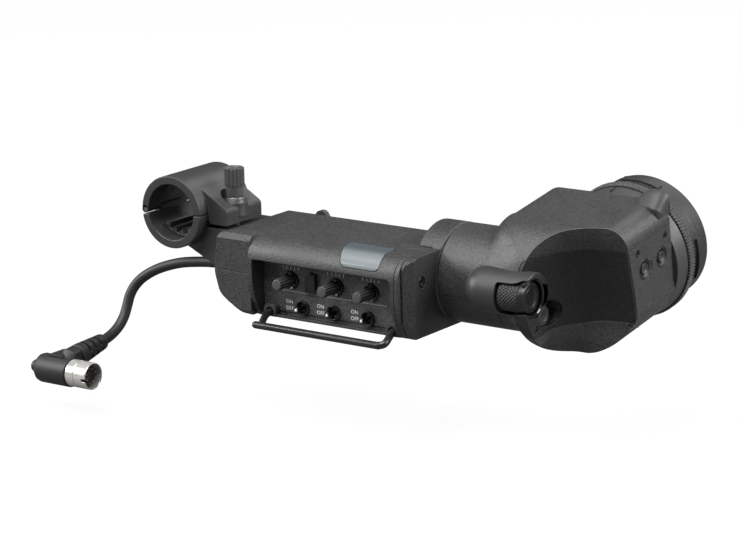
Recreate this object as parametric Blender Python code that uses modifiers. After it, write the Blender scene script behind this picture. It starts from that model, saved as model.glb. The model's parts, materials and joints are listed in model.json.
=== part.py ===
"""Electronic viewfinder for a shoulder camera, as an assembly of its separate pieces.

Metres, +Z up. The origin is the middle of the rail clamp's bore, which holds the viewfinder up.
X runs along the body from the clamp to the head, and the eyepiece looks out towards +Y.
Body pieces are placed from the neck axis, about which the head tilts: its frame has its origin
on that axis, at the gap between body and head. Head pieces are placed from the same point, in
a frame that is pitched up by the tilt of the eyepiece at rest.
"""

from math import asin, atan2, cos, hypot, pi, radians, sin

import bmesh
import bpy
from mathutils import Vector

# Clearances and shared details
GAP = 0.0003
OVERRUN = 0.002
WELD = 0.000001
SCREW_MERGE = 0.00001
EDGE_BEVEL = 0.0008
BEVEL_STEPS = 2
FINE_STEPS = 64
ROUND_STEPS = 40
SMALL_STEPS = 24
TINY_STEPS = 16

# Where the neck axis lies from the clamp's bore, and the pitch of the eyepiece at rest
NECK_FROM_CLAMP_X = 0.1346
NECK_FROM_CLAMP_Y = 0.0236
NECK_FROM_CLAMP_Z = -0.0198
HEAD_PITCH = radians(9)

# Body housing: a section in Y and Z, run along X
BODY_LEFT = -0.0889
BODY_RIGHT = -0.0059
BODY_TOP = 0.0139
BODY_BOTTOM = -0.0230
BODY_REAR = 0.0096
BODY_FRONT = -0.0445
BODY_TOP_ROUND = 0.0107
BODY_FRONT_LOW = -0.0032
BODY_FRONT_TUCK = 0.0065
BODY_WALL = 0.0022

# Recess in the body's front, and the control panel at its back
RECESS_LEFT = -0.0866
RECESS_RIGHT = -0.0100
RECESS_TOP = 0.0043
RECESS_CORNER = 0.0032
PANEL_FACE = -0.0354
PANEL_THICKNESS = 0.0020
PANEL_SEAT = 0.0015
PANEL_LAP = 0.0030

# Tally window on the body's top edge
WINDOW_LEFT = -0.0437
WINDOW_RIGHT = -0.0166
WINDOW_LEFT_LEAN = 0.0064
WINDOW_RIGHT_LEAN = 0.0021
WINDOW_SILL = 0.0006
LAMP_ROOM_TOP = 0.0112
TALLY_LAMPS = 3
WINDOW_BACK = -0.0272
WINDOW_FOOT = 0.0070
WINDOW_THICKNESS = 0.0024
TALLY_BOARD_THICKNESS = 0.0010
TALLY_LAMP_SIDE = 0.0022

# Right end plate, with the fixed boss that carries the tilt shaft
END_FACE = -0.0011
END_CHAMFER = 0.0038
END_FRONT = -0.0422
BOSS_RADIUS = 0.0226
BOSS_LEFT = -0.0134
BOSS_FACE = -0.0003
END_SCREW_Y = -0.0327
END_SCREW_Z = 0.0020
END_SCREW_RADIUS = 0.0024
END_SCREW_DEPTH = 0.0020

# Left end cap
CAP_LEFT = -0.1066
CAP_LIP_LEFT = -0.1104
CAP_FRONT = -0.0423
CAP_LIP_DEPTH = 0.0066
CAP_FLOOR_RISE = 0.0030
CAP_TOP_CHAMFER = 0.0035

# Rear cover and the boards inside
REAR_COVER_THICKNESS = 0.0020
BOARD_THICKNESS = 0.0016
BOARD_MARGIN = 0.0030
BOARD_Y = -0.0100
REAR_SCREW_X = -0.0872
REAR_SCREW_RADIUS = 0.0036
REAR_SCREW_HEAD = 0.0030
REAR_SCREW_Z = 0.0124

# Knobs, on the shafts of three potentiometers
KNOB_XS = (-0.0712, -0.0461, -0.0268)
KNOB_Z = -0.0054
KNOB_RADIUS = 0.0027
KNOB_LENGTH = 0.0112
KNOB_FLUTES = 14
KNOB_FLUTE_DEPTH = 0.0003
COLLAR_RADIUS = 0.0044
COLLAR_INNER = 0.0034
COLLAR_HEIGHT = 0.0011
POT_RADIUS = 0.0048
POT_LENGTH = 0.0080
POT_SHAFT_RADIUS = 0.0014
CONTROL_BOARD_SEAT = 0.0003
POT_SHAFT_CLEARANCE = 0.0002

# Toggle switches
TOGGLE_XS = (-0.0649, -0.0476, -0.0287)
TOGGLE_Z = -0.0176
TOGGLE_RING_RADIUS = 0.0037
TOGGLE_HOLE_RADIUS = 0.0024
TOGGLE_HEIGHT = 0.0012
TOGGLE_LEVER_RADIUS = 0.0010
TOGGLE_TIP_RADIUS = 0.0013
TOGGLE_LEVER_LENGTH = 0.0060
TOGGLE_PIVOT_DEPTH = 0.0024
TOGGLE_BALL_RADIUS = 0.0014
TOGGLE_CASE_LOW = 0.0030
TOGGLE_CASE_HIGH = 0.0034
TOGGLE_CASE_WIDTH = 0.0062

# Light sensor hood on the panel
HOOD_LEFT = -0.0624
HOOD_RIGHT = -0.0568
HOOD_TOP = -0.0006
HOOD_BOTTOM = -0.0096
HOOD_HEIGHT = 0.0016
HOOD_NOTCH = 0.0016

# Guard bar in front of the recess, and the bosses that hold it
BAR_RADIUS = 0.0017
BAR_Y = -0.0494
BAR_Z = -0.0244
GUARD_LEFT = -0.0812
GUARD_RIGHT = -0.0135
BAR_BEND = 0.0036
BAR_FOOT_Z = -0.0205
BAR_BOSS_RADIUS = 0.0032
BAR_BOSS_DEPTH = 0.0036
BAR_BEND_POINTS = 6
FLOOR_LIP = 0.0010

# Rail clamp: a split tube along Y, closed by a thumbscrew
CLAMP_OUTER = 0.0170
CLAMP_BORE = 0.01307
CLAMP_FRONT = -0.0423
CLAMP_REAR = -0.0048
CLAMP_PIN_RADIUS_AT = 0.0151
CLAMP_PIN_RADIUS = 0.0009
CLAMP_PIN_CLEARANCE = 0.0001
CLAMP_KNUCKLE = 0.0018
CLAMP_KNUCKLE_LENGTH = 0.0090
CLAMP_SLIT = 0.0005
ARM_FRONT = -0.0354
ARM_REAR = -0.0016
ARM_TOP = 0.0132
ARM_LEFT = -0.1225
ARM_TAIL_X = -0.1159
ARM_TAIL_Z = -0.0038
ARM_FOOT_Z = -0.0050
ARM_TANGENT_X = -0.1324
ARM_TANGENT_Z = 0.0040
FLANGE_RIGHT = -0.1070
FLANGE_REAR = -0.0096
FLANGE_BOTTOM = 0.0150
FLANGE_TOP = 0.0223
FLANGE_RIDGE_X = -0.1229
FLANGE_RIDGE_Z = 0.0317
GRIP_OUTER = 0.01277
GRIP_INNER = 0.01180
GRIP_ANGLE = radians(52)
GRIP_FRONT = -0.0330
GRIP_REAR = -0.0110
GRIP_TOOTH = 0.0016
GRIP_TEETH = 5

# Thumbscrew of the clamp
THUMB_X = -0.1118
THUMB_Y = -0.0230
THUMB_TOP = 0.0402
THUMB_GRIP_BOTTOM = 0.0312
THUMB_BOTTOM = 0.0266
THUMB_RADIUS = 0.0047
THUMB_NECK_RADIUS = 0.0040
THUMB_CHAMFER = 0.0007
THUMB_RIBS = 18
THUMB_RIB_DEPTH = 0.0004
THUMB_SHANK_RADIUS = 0.0019
THUMB_SHANK_END = 0.0060
THUMB_HOLE_RADIUS = 0.0029
THUMB_THREAD_CLEARANCE = 0.0003
WASHER_THICKNESS = 0.0008
WASHER_RADIUS = 0.0043
PAD_TOP_RADIUS = 0.0046
PAD_FOOT_RADIUS = 0.0062
PAD_FOOT_Z = 0.0190

# Cord: its exit at the left cap, its route, and the angled plug on its end
CORD_DIAMETER = 0.0050
CORD_Y = -0.0161
CORD_EXIT_Z = -0.0090
GLAND_LENGTH = 0.0060
GLAND_RADIUS = 0.0035
GLAND_END_RADIUS = 0.0029
GLAND_SEAT = 0.0018
GLAND_STEP = 0.0008
GLAND_COLLAR = 0.0012
CORD_ROUTE = (
    (-0.1132, -0.0161, -0.0090),
    (-0.1220, -0.0161, -0.0089),
    (-0.1310, -0.0161, -0.0090),
    (-0.1395, -0.0161, -0.0098),
    (-0.1515, -0.0163, -0.0118),
    (-0.1633, -0.0170, -0.0157),
    (-0.1715, -0.0182, -0.0202),
    (-0.1760, -0.0200, -0.0246),
    (-0.1780, -0.0222, -0.0293),
    (-0.1784, -0.0243, -0.0343),
    (-0.1783, -0.0272, -0.0392),
    (-0.1783, -0.0314, -0.0432),
    (-0.1783, -0.0370, -0.0460),
    (-0.1783, -0.0432, -0.0476),
)
CORD_SPACING = 0.0050
CORD_SAMPLES = 20
RELIEF_LENGTH = 0.0190
RELIEF_DROP = 0.0027
RELIEF_TIP_RADIUS = 0.0039
RELIEF_ROOT_RADIUS = 0.0053
RELIEF_GROOVES = 3
RELIEF_GROOVE_SHARE = 0.62
RELIEF_PITCH_SHARE = 1.25
RELIEF_GROOVE_DEPTH = 0.0007
RELIEF_GROOVE_WIDTH = 0.0011
PLUG_Y = -0.0700
PLUG_Z = -0.0560
PLUG_LEFT = -0.1960
PLUG_RIGHT = -0.1755
PLUG_RADIUS = 0.0070
PLUG_NUB_LENGTH = 0.0028
PLUG_NUB_RADIUS = 0.0026
PLUG_ROUND = 0.0022
PLUG_TOP_HEIGHT = 0.0082
PLUG_TOP_LEFT = -0.1900
SHELL_RIGHT = -0.1617
SHELL_RADIUS = 0.0064
SHELL_INNER = 0.0058
SHELL_KEY_WIDTH = 0.0016
SHELL_KEY_DEPTH = 0.0026
INSERT_RECESS = 0.0040
INSERT_PIN_RADIUS = 0.0004
INSERT_PIN_CIRCLE = 0.0032
INSERT_PIN_LENGTH = 0.0030
INSERT_PINS = 7
CONTACT_STEPS = 8

# Head: neck, nose, and the housing round the eyepiece axis
NECK_RADIUS = 0.0225
NECK_LEFT = 0.0003
NECK_WALL = 0.0026
NECK_END_WALL = 0.0030
NECK_SPLIT_Z = -0.0019
NECK_COVER_RIGHT = 0.0300
NOSE_START = 0.0300
NOSE_FULL = 0.0400
NOSE_RADIUS = 0.0278
NOSE_MID_SHARE = 0.93
NOSE_MID_RUN_SHARE = 0.7
NOSE_FOOT_SHARE = 0.2
NOSE_FOOT_RUN_SHARE = 0.25
NOSE_RIGHT = 0.0530
CROWN_CENTRE_Y = 0.0035
CROWN_CENTRE_Z = 0.0035
CROWN_RADIUS = 0.0260
CHIN_RADIUS = 0.0310
EYE_X = 0.05625
EYE_Z = -0.00107
HOUSING_RADIUS = 0.0300
HOUSING_TOP_STEP = 0.00057
HOUSING_TOP = EYE_Z + HOUSING_RADIUS + HOUSING_TOP_STEP
HOUSING_LEFT = 0.0200
HOUSING_FLAT = 0.00215
HOUSING_RIGHT = EYE_X + HOUSING_RADIUS - HOUSING_FLAT
HOUSING_SHOULDER = 0.0090
HOUSING_CORNER = 0.0090
HOUSING_FRONT = -0.0300
HOUSING_REAR = 0.0396
HOUSING_WALL = 0.0054
CAVITY_FRONT = 0.0085
CAVITY_RADIUS = HOUSING_RADIUS - HOUSING_WALL
POD_DEPTH = 0.0180

# Scooped front of the head: left wall, then a hollow curve to the right side
SCOOP_WALL_X = 0.0504
SCOOP_WALL_Y = -0.0193
SCOOP_RIGHT_Y = 0.0034
SCOOP_BEND = 0.0170
SCOOP_BEND_X = 0.0260
SCOOP_WALL_RUN = 0.0040
SCOOP_TURN_SHARE = 0.92
COVER_TOP_DROP = 0.0109
COVER_TOP = HOUSING_TOP - COVER_TOP_DROP
COVER_BOTTOM = -0.0145
COVER_THICKNESS = 0.0020
COVER_LEFT_Y = -0.0095
COVER_SIDE_MARGIN = 0.0030
SCOOP_POINTS = 12

# Side panel with its two buttons
SIDE_TOP_DROP = 0.0108
SIDE_TOP = HOUSING_TOP - SIDE_TOP_DROP
SIDE_BOTTOM = -0.0176
SIDE_FRONT = 0.0060
SIDE_THICKNESS = 0.0014
SIDE_BUTTON_YS = (0.0158, 0.0306)
SIDE_BUTTON_Z = 0.0066
SIDE_BUTTON_RADIUS = 0.0026
SIDE_RECESS_RADIUS = 0.0046
SIDE_RECESS_DEPTH = 0.0007
SIDE_BUTTON_LENGTH = 0.0036
SIDE_BUTTON_FLANGE = 0.0034
SIDE_BUTTON_TRAVEL = 0.0008
BUTTON_DISH_SHARE = 0.60
BUTTON_RIM_SHARE = 0.75

# Thumb catch at the head's top right rear
CATCH_INSET = 0.0069
CATCH_DROP = 0.0033
CATCH_X = HOUSING_RIGHT - CATCH_INSET
CATCH_Z = HOUSING_TOP - CATCH_DROP
CATCH_RADIUS = 0.0086
CATCH_LENGTH = 0.0140
CATCH_REAR = 0.0394

# Menu dial in its pod, and the menu button beside it
DIAL_SINK = 0.0047
DIAL_Y = DIAL_SINK - NOSE_RADIUS
DIAL_Z = 0.0034
DIAL_LEFT = 0.0362
DIAL_RIGHT = 0.0499
DIAL_RADIUS = 0.0072
DIAL_CLEARANCE = 0.0009
AXLE_CLEARANCE = 0.0001
DIAL_KNURL_DEPTH = 0.0003
DIAL_KNURLS = 20
DIAL_RIM = 0.0012
DIAL_DISH_RADIUS = 0.0044
DIAL_DISH_DEPTH = 0.0006
DIAL_AXLE_RADIUS = 0.0012
POD_SINK = 0.0075
POD_Y = POD_SINK - NOSE_RADIUS
POD_RADIUS = 0.0102
DOME_STEPS = 6
POD_LEFT = 0.0275
POD_RIGHT = 0.0500
POD_DOME_SHARE = 0.95
POD_WINDOW_LEFT = 0.0352
POD_WINDOW_TOP = 0.0110
POD_WINDOW_BOTTOM = -0.0043
CARRIER_WIDTH = 0.0046
CARRIER_LENGTH = 0.0044
MENU_Y = -0.0160
MENU_Z = -0.0080
MENU_RADIUS = 0.0046
MENU_RECESS_RADIUS = 0.0053
MENU_DEPTH = 0.0050
MENU_RECESS_DEPTH = 0.0007
MENU_TRAVEL = 0.0008

# Tilt shaft with its washer and ring
SHAFT_RADIUS = 0.0090
SHAFT_BORE = 0.0062
SHAFT_CLEARANCE = 0.0003
SHAFT_LEFT = -0.0120
SHAFT_FLANGE_RADIUS = 0.0150
SHAFT_FLANGE_THICKNESS = 0.0020
TILT_WASHER_RADIUS = 0.0110
TILT_WASHER_THICKNESS = 0.0008
TILT_RING_RADIUS = 0.0106
TILT_RING_THICKNESS = 0.0026

# Eyepiece, along its axis from the housing's rear
BASE_RING_REAR = 0.0479
BASE_RING_STEP = 0.0007
BASE_RING_TAPER = 0.0008
BASE_RING_RADIUS = HOUSING_RADIUS + BASE_RING_STEP
BASE_RING_FRONT_RADIUS = BASE_RING_RADIUS - BASE_RING_TAPER
BASE_TUBE_DEPTH = 0.0032
BASE_TUBE_WALL = 0.0040
BASE_TUBE_OUTER = HOUSING_RADIUS - BASE_TUBE_DEPTH
BASE_TUBE_INNER = BASE_TUBE_OUTER - BASE_TUBE_WALL
BASE_SEAT = 0.0030
FOCUS_STEP = 0.0019
FOCUS_RADIUS = HOUSING_RADIUS + FOCUS_STEP
FOCUS_REAR = 0.0525
FOCUS_KNURLS = 60
FOCUS_KNURL_DEPTH = 0.0004
LOCK_RADIUS = HOUSING_RADIUS
EYE_NECK_STEP = 0.0004
EYE_NECK_OUTER = BASE_TUBE_OUTER + EYE_NECK_STEP
LOCK_REAR = 0.0610
LOCK_TAB_HEIGHT = 0.0014
LOCK_TAB_LENGTH = 0.0042
LOCK_TAB_ANGLES = (radians(84), radians(-6))
LOCK_TAB_SPAN = radians(36)
EYE_RING_STEP = 0.0004
EYE_RING_RADIUS = LOCK_RADIUS - EYE_RING_STEP
EYE_RING_REAR = 0.0678
EYE_RING_WALL = 0.0067
EYE_RING_INNER = EYE_NECK_OUTER - EYE_RING_WALL
EYE_RING_LIP = 0.0020
CELL_WALL = 0.0025
CELL_OUTER = BASE_TUBE_INNER - GAP
CELL_INNER = CELL_OUTER - CELL_WALL
CELL_FRONT = 0.0300
CELL_REAR = 0.0560
LENS_CLEARANCE = 0.0006
LENS_RADIUS = CELL_INNER - LENS_CLEARANCE
CELL_LEDGE = 0.0020
LENS_THICKNESS = 0.0030
LENS_CROWN = 0.0022
REAR_LENS_Y = 0.0500
FRONT_LENS_Y = 0.0360
DISPLAY_Y = 0.0160
DISPLAY_WIDTH = 0.0260
DISPLAY_HEIGHT = 0.0180
DISPLAY_THICKNESS = 0.0024
HOLDER_THICKNESS = 0.0030
HOLDER_RADIUS = CAVITY_RADIUS - GAP
HEAD_BOARD_THICKNESS = 0.0016

parts = None
cutters = None
frames = {}


def clear_scene():
    for item in list(bpy.data.objects):
        bpy.data.objects.remove(item, do_unlink=True)


def collection(name, hidden):
    made = bpy.data.collections.new(name)
    bpy.context.scene.collection.children.link(made)
    made.hide_render = hidden
    return made


def material(name, colour, roughness, metallic=0.0, alpha=1.0):
    made = bpy.data.materials.new(name)
    made.use_nodes = True
    shader = made.node_tree.nodes["Principled BSDF"]
    shader.inputs["Base Color"].default_value = (*colour, 1.0)
    shader.inputs["Roughness"].default_value = roughness
    shader.inputs["Metallic"].default_value = metallic
    shader.inputs["Alpha"].default_value = alpha
    made.diffuse_color = (*colour, alpha)
    return made


def frame(name, location, parent=None, pitch=0.0):
    """An empty that pieces are placed from."""
    empty = bpy.data.objects.new(name, None)
    parts.objects.link(empty)
    empty.parent = parent
    empty.location = location
    empty.rotation_euler = (pitch, 0, 0)
    frames[name] = empty
    return empty


TURNS = {"x": (pi / 2, 0, pi / 2), "y": (pi / 2, 0, 0), "z": (0, 0, 0)}
POINTING = {"x": (0, pi / 2, 0), "y": (-pi / 2, 0, 0), "z": (0, 0, 0)}


def placed(name, mesh, parent, location, rotation, look):
    """Adds a mesh as a piece, or as a cutter where it has no look."""
    item = bpy.data.objects.new(name, mesh)
    item.parent = parent
    item.location = location
    item.rotation_euler = rotation
    if look is None:
        cutters.objects.link(item)
        item.hide_render = True
        item.display_type = "WIRE"
    else:
        parts.objects.link(item)
        mesh.materials.append(look)
    return item


def smooth(item, angle=radians(32)):
    item.data.shade_smooth()
    item.data.set_sharp_from_angle(angle=angle)
    return item


def mesh_from(source):
    """The mesh of an evaluated object, with the caps of a curve welded on; the object goes."""
    bpy.context.view_layer.update()
    graph = bpy.context.evaluated_depsgraph_get()
    mesh = bpy.data.meshes.new_from_object(source.evaluated_get(graph))
    bpy.data.objects.remove(source, do_unlink=True)
    shape = bmesh.new()
    shape.from_mesh(mesh)
    bmesh.ops.remove_doubles(shape, verts=shape.verts, dist=WELD)
    bmesh.ops.recalc_face_normals(shape, faces=shape.faces)
    shape.to_mesh(mesh)
    shape.free()
    return mesh


def extruded(name, loops, low, high, axis, parent, look):
    """A flat outline, with any holes after it, run from low to high along an axis."""
    curve = bpy.data.curves.new(name, "CURVE")
    curve.dimensions = "2D"
    curve.fill_mode = "BOTH"
    curve.extrude = (high - low) / 2
    for loop in loops:
        spline = curve.splines.new("POLY")
        spline.points.add(len(loop) - 1)
        for point, (across, up) in zip(spline.points, loop):
            point.co = (across, up, 0, 1)
        spline.use_cyclic_u = True
    source = bpy.data.objects.new(name, curve)
    bpy.context.scene.collection.objects.link(source)
    middle = (low + high) / 2
    location = {"x": (middle, 0, 0), "y": (0, middle, 0), "z": (0, 0, middle)}[axis]
    return placed(name, mesh_from(source), parent, location, TURNS[axis], look)


def turned(name, profile, origin, axis, parent, look, steps=ROUND_STEPS, closed=False):
    """A profile of (radius, height) points, down its outer side, turned round an axis."""
    mesh = bpy.data.meshes.new(name)
    points = [(radius, 0, height) for radius, height in profile]
    edges = [(index, index + 1) for index in range(len(points) - 1)]
    if closed:
        edges.append((len(points) - 1, 0))
    mesh.from_pydata(points, edges, [])
    source = bpy.data.objects.new(name, mesh)
    bpy.context.scene.collection.objects.link(source)
    screw = source.modifiers.new("turn", "SCREW")
    screw.axis = "Z"
    screw.steps = steps
    screw.render_steps = steps
    screw.use_merge_vertices = True
    screw.merge_threshold = SCREW_MERGE
    item = placed(name, mesh_from(source), parent, origin, POINTING[axis], look)
    return smooth(item)


def rod(name, radius, low, high, centre, axis, parent, look, steps=ROUND_STEPS, top_radius=None):
    """A round bar from low to high along an axis; centre holds its other two coordinates."""
    mesh = bpy.data.meshes.new(name)
    shape = bmesh.new()
    bmesh.ops.create_cone(
        shape,
        cap_ends=True,
        segments=steps,
        radius1=radius,
        radius2=radius if top_radius is None else top_radius,
        depth=high - low,
    )
    shape.to_mesh(mesh)
    shape.free()
    middle = (low + high) / 2
    first, second = centre
    location = {
        "x": (middle, first, second),
        "y": (first, middle, second),
        "z": (first, second, middle),
    }[axis]
    return smooth(placed(name, mesh, parent, location, POINTING[axis], look))


def block(name, low, high, parent, look, bevel=0.0):
    """A box between two corners, its edges rounded where a bevel is given."""
    mesh = bpy.data.meshes.new(name)
    shape = bmesh.new()
    bmesh.ops.create_cube(shape, size=1)
    sides = [end - start for start, end in zip(low, high)]
    bmesh.ops.scale(shape, verts=shape.verts, vec=sides)
    shape.to_mesh(mesh)
    shape.free()
    middle = [(start + end) / 2 for start, end in zip(low, high)]
    item = placed(name, mesh, parent, middle, (0, 0, 0), look)
    if bevel:
        rounded(item, bevel)
    return item


def ball(name, radii, centre, parent, look, steps=SMALL_STEPS):
    mesh = bpy.data.meshes.new(name)
    shape = bmesh.new()
    bmesh.ops.create_uvsphere(shape, u_segments=steps, v_segments=steps // 2, radius=1)
    bmesh.ops.scale(shape, verts=shape.verts, vec=radii)
    shape.to_mesh(mesh)
    shape.free()
    return smooth(placed(name, mesh, parent, centre, (0, 0, 0), look))


def rounded(item, width, angle=radians(40), steps=BEVEL_STEPS):
    bevel = item.modifiers.new("rounded edges", "BEVEL")
    bevel.width = width
    bevel.segments = steps
    bevel.limit_method = "ANGLE"
    bevel.angle_limit = angle
    return item


def combined(item, other, operation):
    change = item.modifiers.new(other.name, "BOOLEAN")
    change.operation = operation
    change.solver = "EXACT"
    change.object = other
    return item


def cut(item, *tools):
    for tool in tools:
        combined(item, tool, "DIFFERENCE")
    return item


def fused(item, *others):
    for other in others:
        combined(item, other, "UNION")
    return item


def kept(item, tool):
    return combined(item, tool, "INTERSECT")


def arc(centre, radius, start, end, steps):
    """Points on a circle from one angle to another, both ends included."""
    return [
        (
            centre[0] + radius * cos(start + (end - start) * index / steps),
            centre[1] + radius * sin(start + (end - start) * index / steps),
        )
        for index in range(steps + 1)
    ]


def rectangle(left, right, bottom, top):
    return [(left, bottom), (right, bottom), (right, top), (left, top)]


def fluted(radius, depth, count):
    """The outline of a round bar with grooves along it."""
    points = []
    for index in range(count * 2):
        reach = radius - depth * (index % 2)
        angle = pi * index / count
        points.append((reach * cos(angle), reach * sin(angle)))
    return points


def fluted_bar(name, radius, depth, count, low, high, centre, axis, parent, look):
    """A grooved bar along an axis, with its origin on that axis."""
    item = extruded(name, [fluted(radius, depth, count)], low, high, "z", parent, look)
    middle = (low + high) / 2
    first, second = centre
    item.location = {
        "x": (middle, first, second),
        "y": (first, middle, second),
        "z": (first, second, middle),
    }[axis]
    item.rotation_euler = POINTING[axis]
    return item


def shell_section(inset=0.0):
    """The body's section in Y and Z: flat top, round front edge, front tucked in below."""
    front = BODY_FRONT + inset
    round_radius = BODY_TOP_ROUND - inset
    top = BODY_TOP - inset
    corner = (front + round_radius, top - round_radius)
    tuck_height = BODY_FRONT_LOW - BODY_BOTTOM
    tuck = [
        (front + BODY_FRONT_TUCK * (index / 3) ** 2, BODY_FRONT_LOW - tuck_height * index / 3)
        for index in range(4)
    ]
    return [
        (BODY_REAR, BODY_BOTTOM),
        (BODY_REAR, top),
        *arc(corner, round_radius, pi / 2, pi, 6),
        *tuck,
    ]


def window_section(outer, inner, grow):
    """The tally window's section in Y and Z: down the round top edge, and back inside it."""
    centre = (BODY_FRONT + BODY_TOP_ROUND, BODY_TOP - BODY_TOP_ROUND)
    low = pi - atan2(WINDOW_FOOT - grow - centre[1], BODY_TOP_ROUND)
    return [
        (WINDOW_BACK + grow, centre[1] + outer),
        *arc(centre, outer, pi / 2, low, 8),
        *arc(centre, inner, low, pi / 2, 8),
        (WINDOW_BACK + grow, centre[1] + inner),
    ]


def window_plan(grow):
    """The window's outline from above: both sides lean to the right as they come forward."""
    return [
        (WINDOW_LEFT - grow, WINDOW_BACK + OVERRUN),
        (WINDOW_LEFT + WINDOW_LEFT_LEAN - grow, BODY_FRONT - OVERRUN),
        (WINDOW_RIGHT + grow, BODY_FRONT - OVERRUN),
        (WINDOW_RIGHT - WINDOW_RIGHT_LEAN + grow, WINDOW_BACK + OVERRUN),
    ]


def make_body(looks, neck):
    """The shell between the end pieces: top, bottom and front, open behind and at both ends."""
    shell = extruded(
        "body_shell", [shell_section()], BODY_LEFT, BODY_RIGHT, "x", neck, looks["shell"]
    )
    front_back = PANEL_FACE - GAP
    hollow = block(
        "cut_body_hollow",
        (BODY_LEFT - OVERRUN, front_back, BODY_BOTTOM + BODY_WALL),
        (BODY_RIGHT + OVERRUN, BODY_REAR + OVERRUN, BODY_TOP - BODY_WALL),
        neck,
        None,
    )
    corner = (RECESS_RIGHT - RECESS_CORNER, RECESS_TOP - RECESS_CORNER)
    recess_outline = [
        (RECESS_LEFT, BODY_BOTTOM - OVERRUN),
        (RECESS_RIGHT, BODY_BOTTOM - OVERRUN),
        *arc(corner, RECESS_CORNER, 0, pi / 2, 5),
        (RECESS_LEFT, RECESS_TOP),
    ]
    recess = extruded(
        "cut_recess", [recess_outline], BODY_FRONT - OVERRUN, front_back + OVERRUN, "y", neck, None
    )
    seat = extruded(
        "cut_window",
        [window_section(BODY_TOP_ROUND + OVERRUN, BODY_TOP_ROUND - WINDOW_THICKNESS - GAP, GAP)],
        WINDOW_LEFT - OVERRUN,
        WINDOW_RIGHT + OVERRUN,
        "x",
        neck,
        None,
    )
    outline = extruded(
        "keep_window_seat", [window_plan(GAP)], RECESS_TOP, BODY_TOP + OVERRUN * 2, "z", neck, None
    )
    kept(seat, outline)
    room_front = BODY_FRONT + BODY_WALL + WINDOW_THICKNESS
    room = block(
        "cut_lamp_room",
        (WINDOW_LEFT + WINDOW_LEFT_LEAN, room_front, WINDOW_FOOT + WINDOW_SILL),
        (WINDOW_RIGHT - WINDOW_RIGHT_LEAN - WINDOW_SILL, front_back + OVERRUN, LAMP_ROOM_TOP),
        neck,
        None,
    )
    cut(shell, hollow, recess, seat, room)
    for index, foot_x in enumerate((GUARD_LEFT, GUARD_RIGHT)):
        boss = rod(
            f"join_bar_boss_{index + 1}",
            BAR_BOSS_RADIUS,
            PANEL_FACE - BAR_BOSS_DEPTH,
            front_back,
            (foot_x, BAR_FOOT_Z),
            "y",
            neck,
            None,
            SMALL_STEPS,
        )
        fused(shell, boss)
    floor = block(
        "join_floor",
        (RECESS_LEFT - PANEL_SEAT, front_back - BAR_BOSS_DEPTH, BODY_BOTTOM),
        (RECESS_RIGHT + PANEL_SEAT, front_back + BODY_WALL, BODY_BOTTOM + FLOOR_LIP),
        neck,
        None,
    )
    fused(shell, floor)
    for index, foot_x in enumerate((GUARD_LEFT, GUARD_RIGHT)):
        hole = rod(
            f"cut_bar_hole_{index + 1}",
            BAR_RADIUS + GAP,
            BODY_FRONT - OVERRUN,
            PANEL_FACE - BAR_BOSS_DEPTH / 2,
            (foot_x, BAR_FOOT_Z),
            "y",
            neck,
            None,
            SMALL_STEPS,
        )
        cut(shell, hole)

    window = extruded(
        "tally_window",
        [window_section(BODY_TOP_ROUND, BODY_TOP_ROUND - WINDOW_THICKNESS, 0)],
        WINDOW_LEFT - OVERRUN,
        WINDOW_RIGHT + OVERRUN,
        "x",
        neck,
        looks["window"],
    )
    kept(
        window,
        extruded(
            "keep_window", [window_plan(0)], RECESS_TOP, BODY_TOP + OVERRUN * 2, "z", neck, None
        ),
    )
    smooth(window)
    lamp_left = WINDOW_LEFT + WINDOW_LEFT_LEAN + GAP
    lamp_right = WINDOW_RIGHT - WINDOW_RIGHT_LEAN - WINDOW_SILL - GAP
    board = block(
        "tally_board",
        (lamp_left, front_back - TALLY_LAMP_SIDE - EDGE_BEVEL, WINDOW_FOOT + WINDOW_SILL + GAP),
        (lamp_right, front_back, WINDOW_FOOT + WINDOW_SILL + GAP + TALLY_BOARD_THICKNESS),
        neck,
        looks["board"],
    )
    for index in range(TALLY_LAMPS):
        centre = lamp_left + (lamp_right - lamp_left) * (index + 0.5) / TALLY_LAMPS
        lamp_top = WINDOW_FOOT + WINDOW_SILL + GAP + TALLY_BOARD_THICKNESS
        lamp = block(
            f"join_lamp_{index + 1}",
            (
                centre - TALLY_LAMP_SIDE / 2,
                front_back - TALLY_LAMP_SIDE - GAP,
                lamp_top - TALLY_BOARD_THICKNESS / 2,
            ),
            (
                centre + TALLY_LAMP_SIDE / 2,
                front_back - GAP,
                lamp_top + TALLY_LAMP_SIDE / 3,
            ),
            neck,
            None,
        )
        fused(board, lamp)

    rear = block(
        "rear_cover",
        (BODY_LEFT + GAP, BODY_REAR - REAR_COVER_THICKNESS, BODY_BOTTOM + BODY_WALL + GAP),
        (BOSS_LEFT - GAP, BODY_REAR, BODY_TOP - BODY_WALL - GAP),
        neck,
        looks["shell"],
    )
    rounded(rear, EDGE_BEVEL / 2, steps=1)
    block(
        "main_board",
        (BODY_LEFT + BOARD_MARGIN, BOARD_Y, BODY_BOTTOM + BODY_WALL + GAP),
        (BOSS_LEFT - BOARD_MARGIN, BOARD_Y + BOARD_THICKNESS, BODY_TOP - BODY_WALL - GAP),
        neck,
        looks["board"],
    )
    turned(
        "rear_screw",
        [
            (0, 0),
            (REAR_SCREW_RADIUS - EDGE_BEVEL, 0),
            (REAR_SCREW_RADIUS, -EDGE_BEVEL),
            (REAR_SCREW_RADIUS, -REAR_SCREW_HEAD),
            (0, -REAR_SCREW_HEAD),
        ],
        (REAR_SCREW_X, BODY_REAR + GAP + REAR_SCREW_HEAD, REAR_SCREW_Z),
        "y",
        neck,
        looks["screw"],
        SMALL_STEPS,
    )


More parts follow.
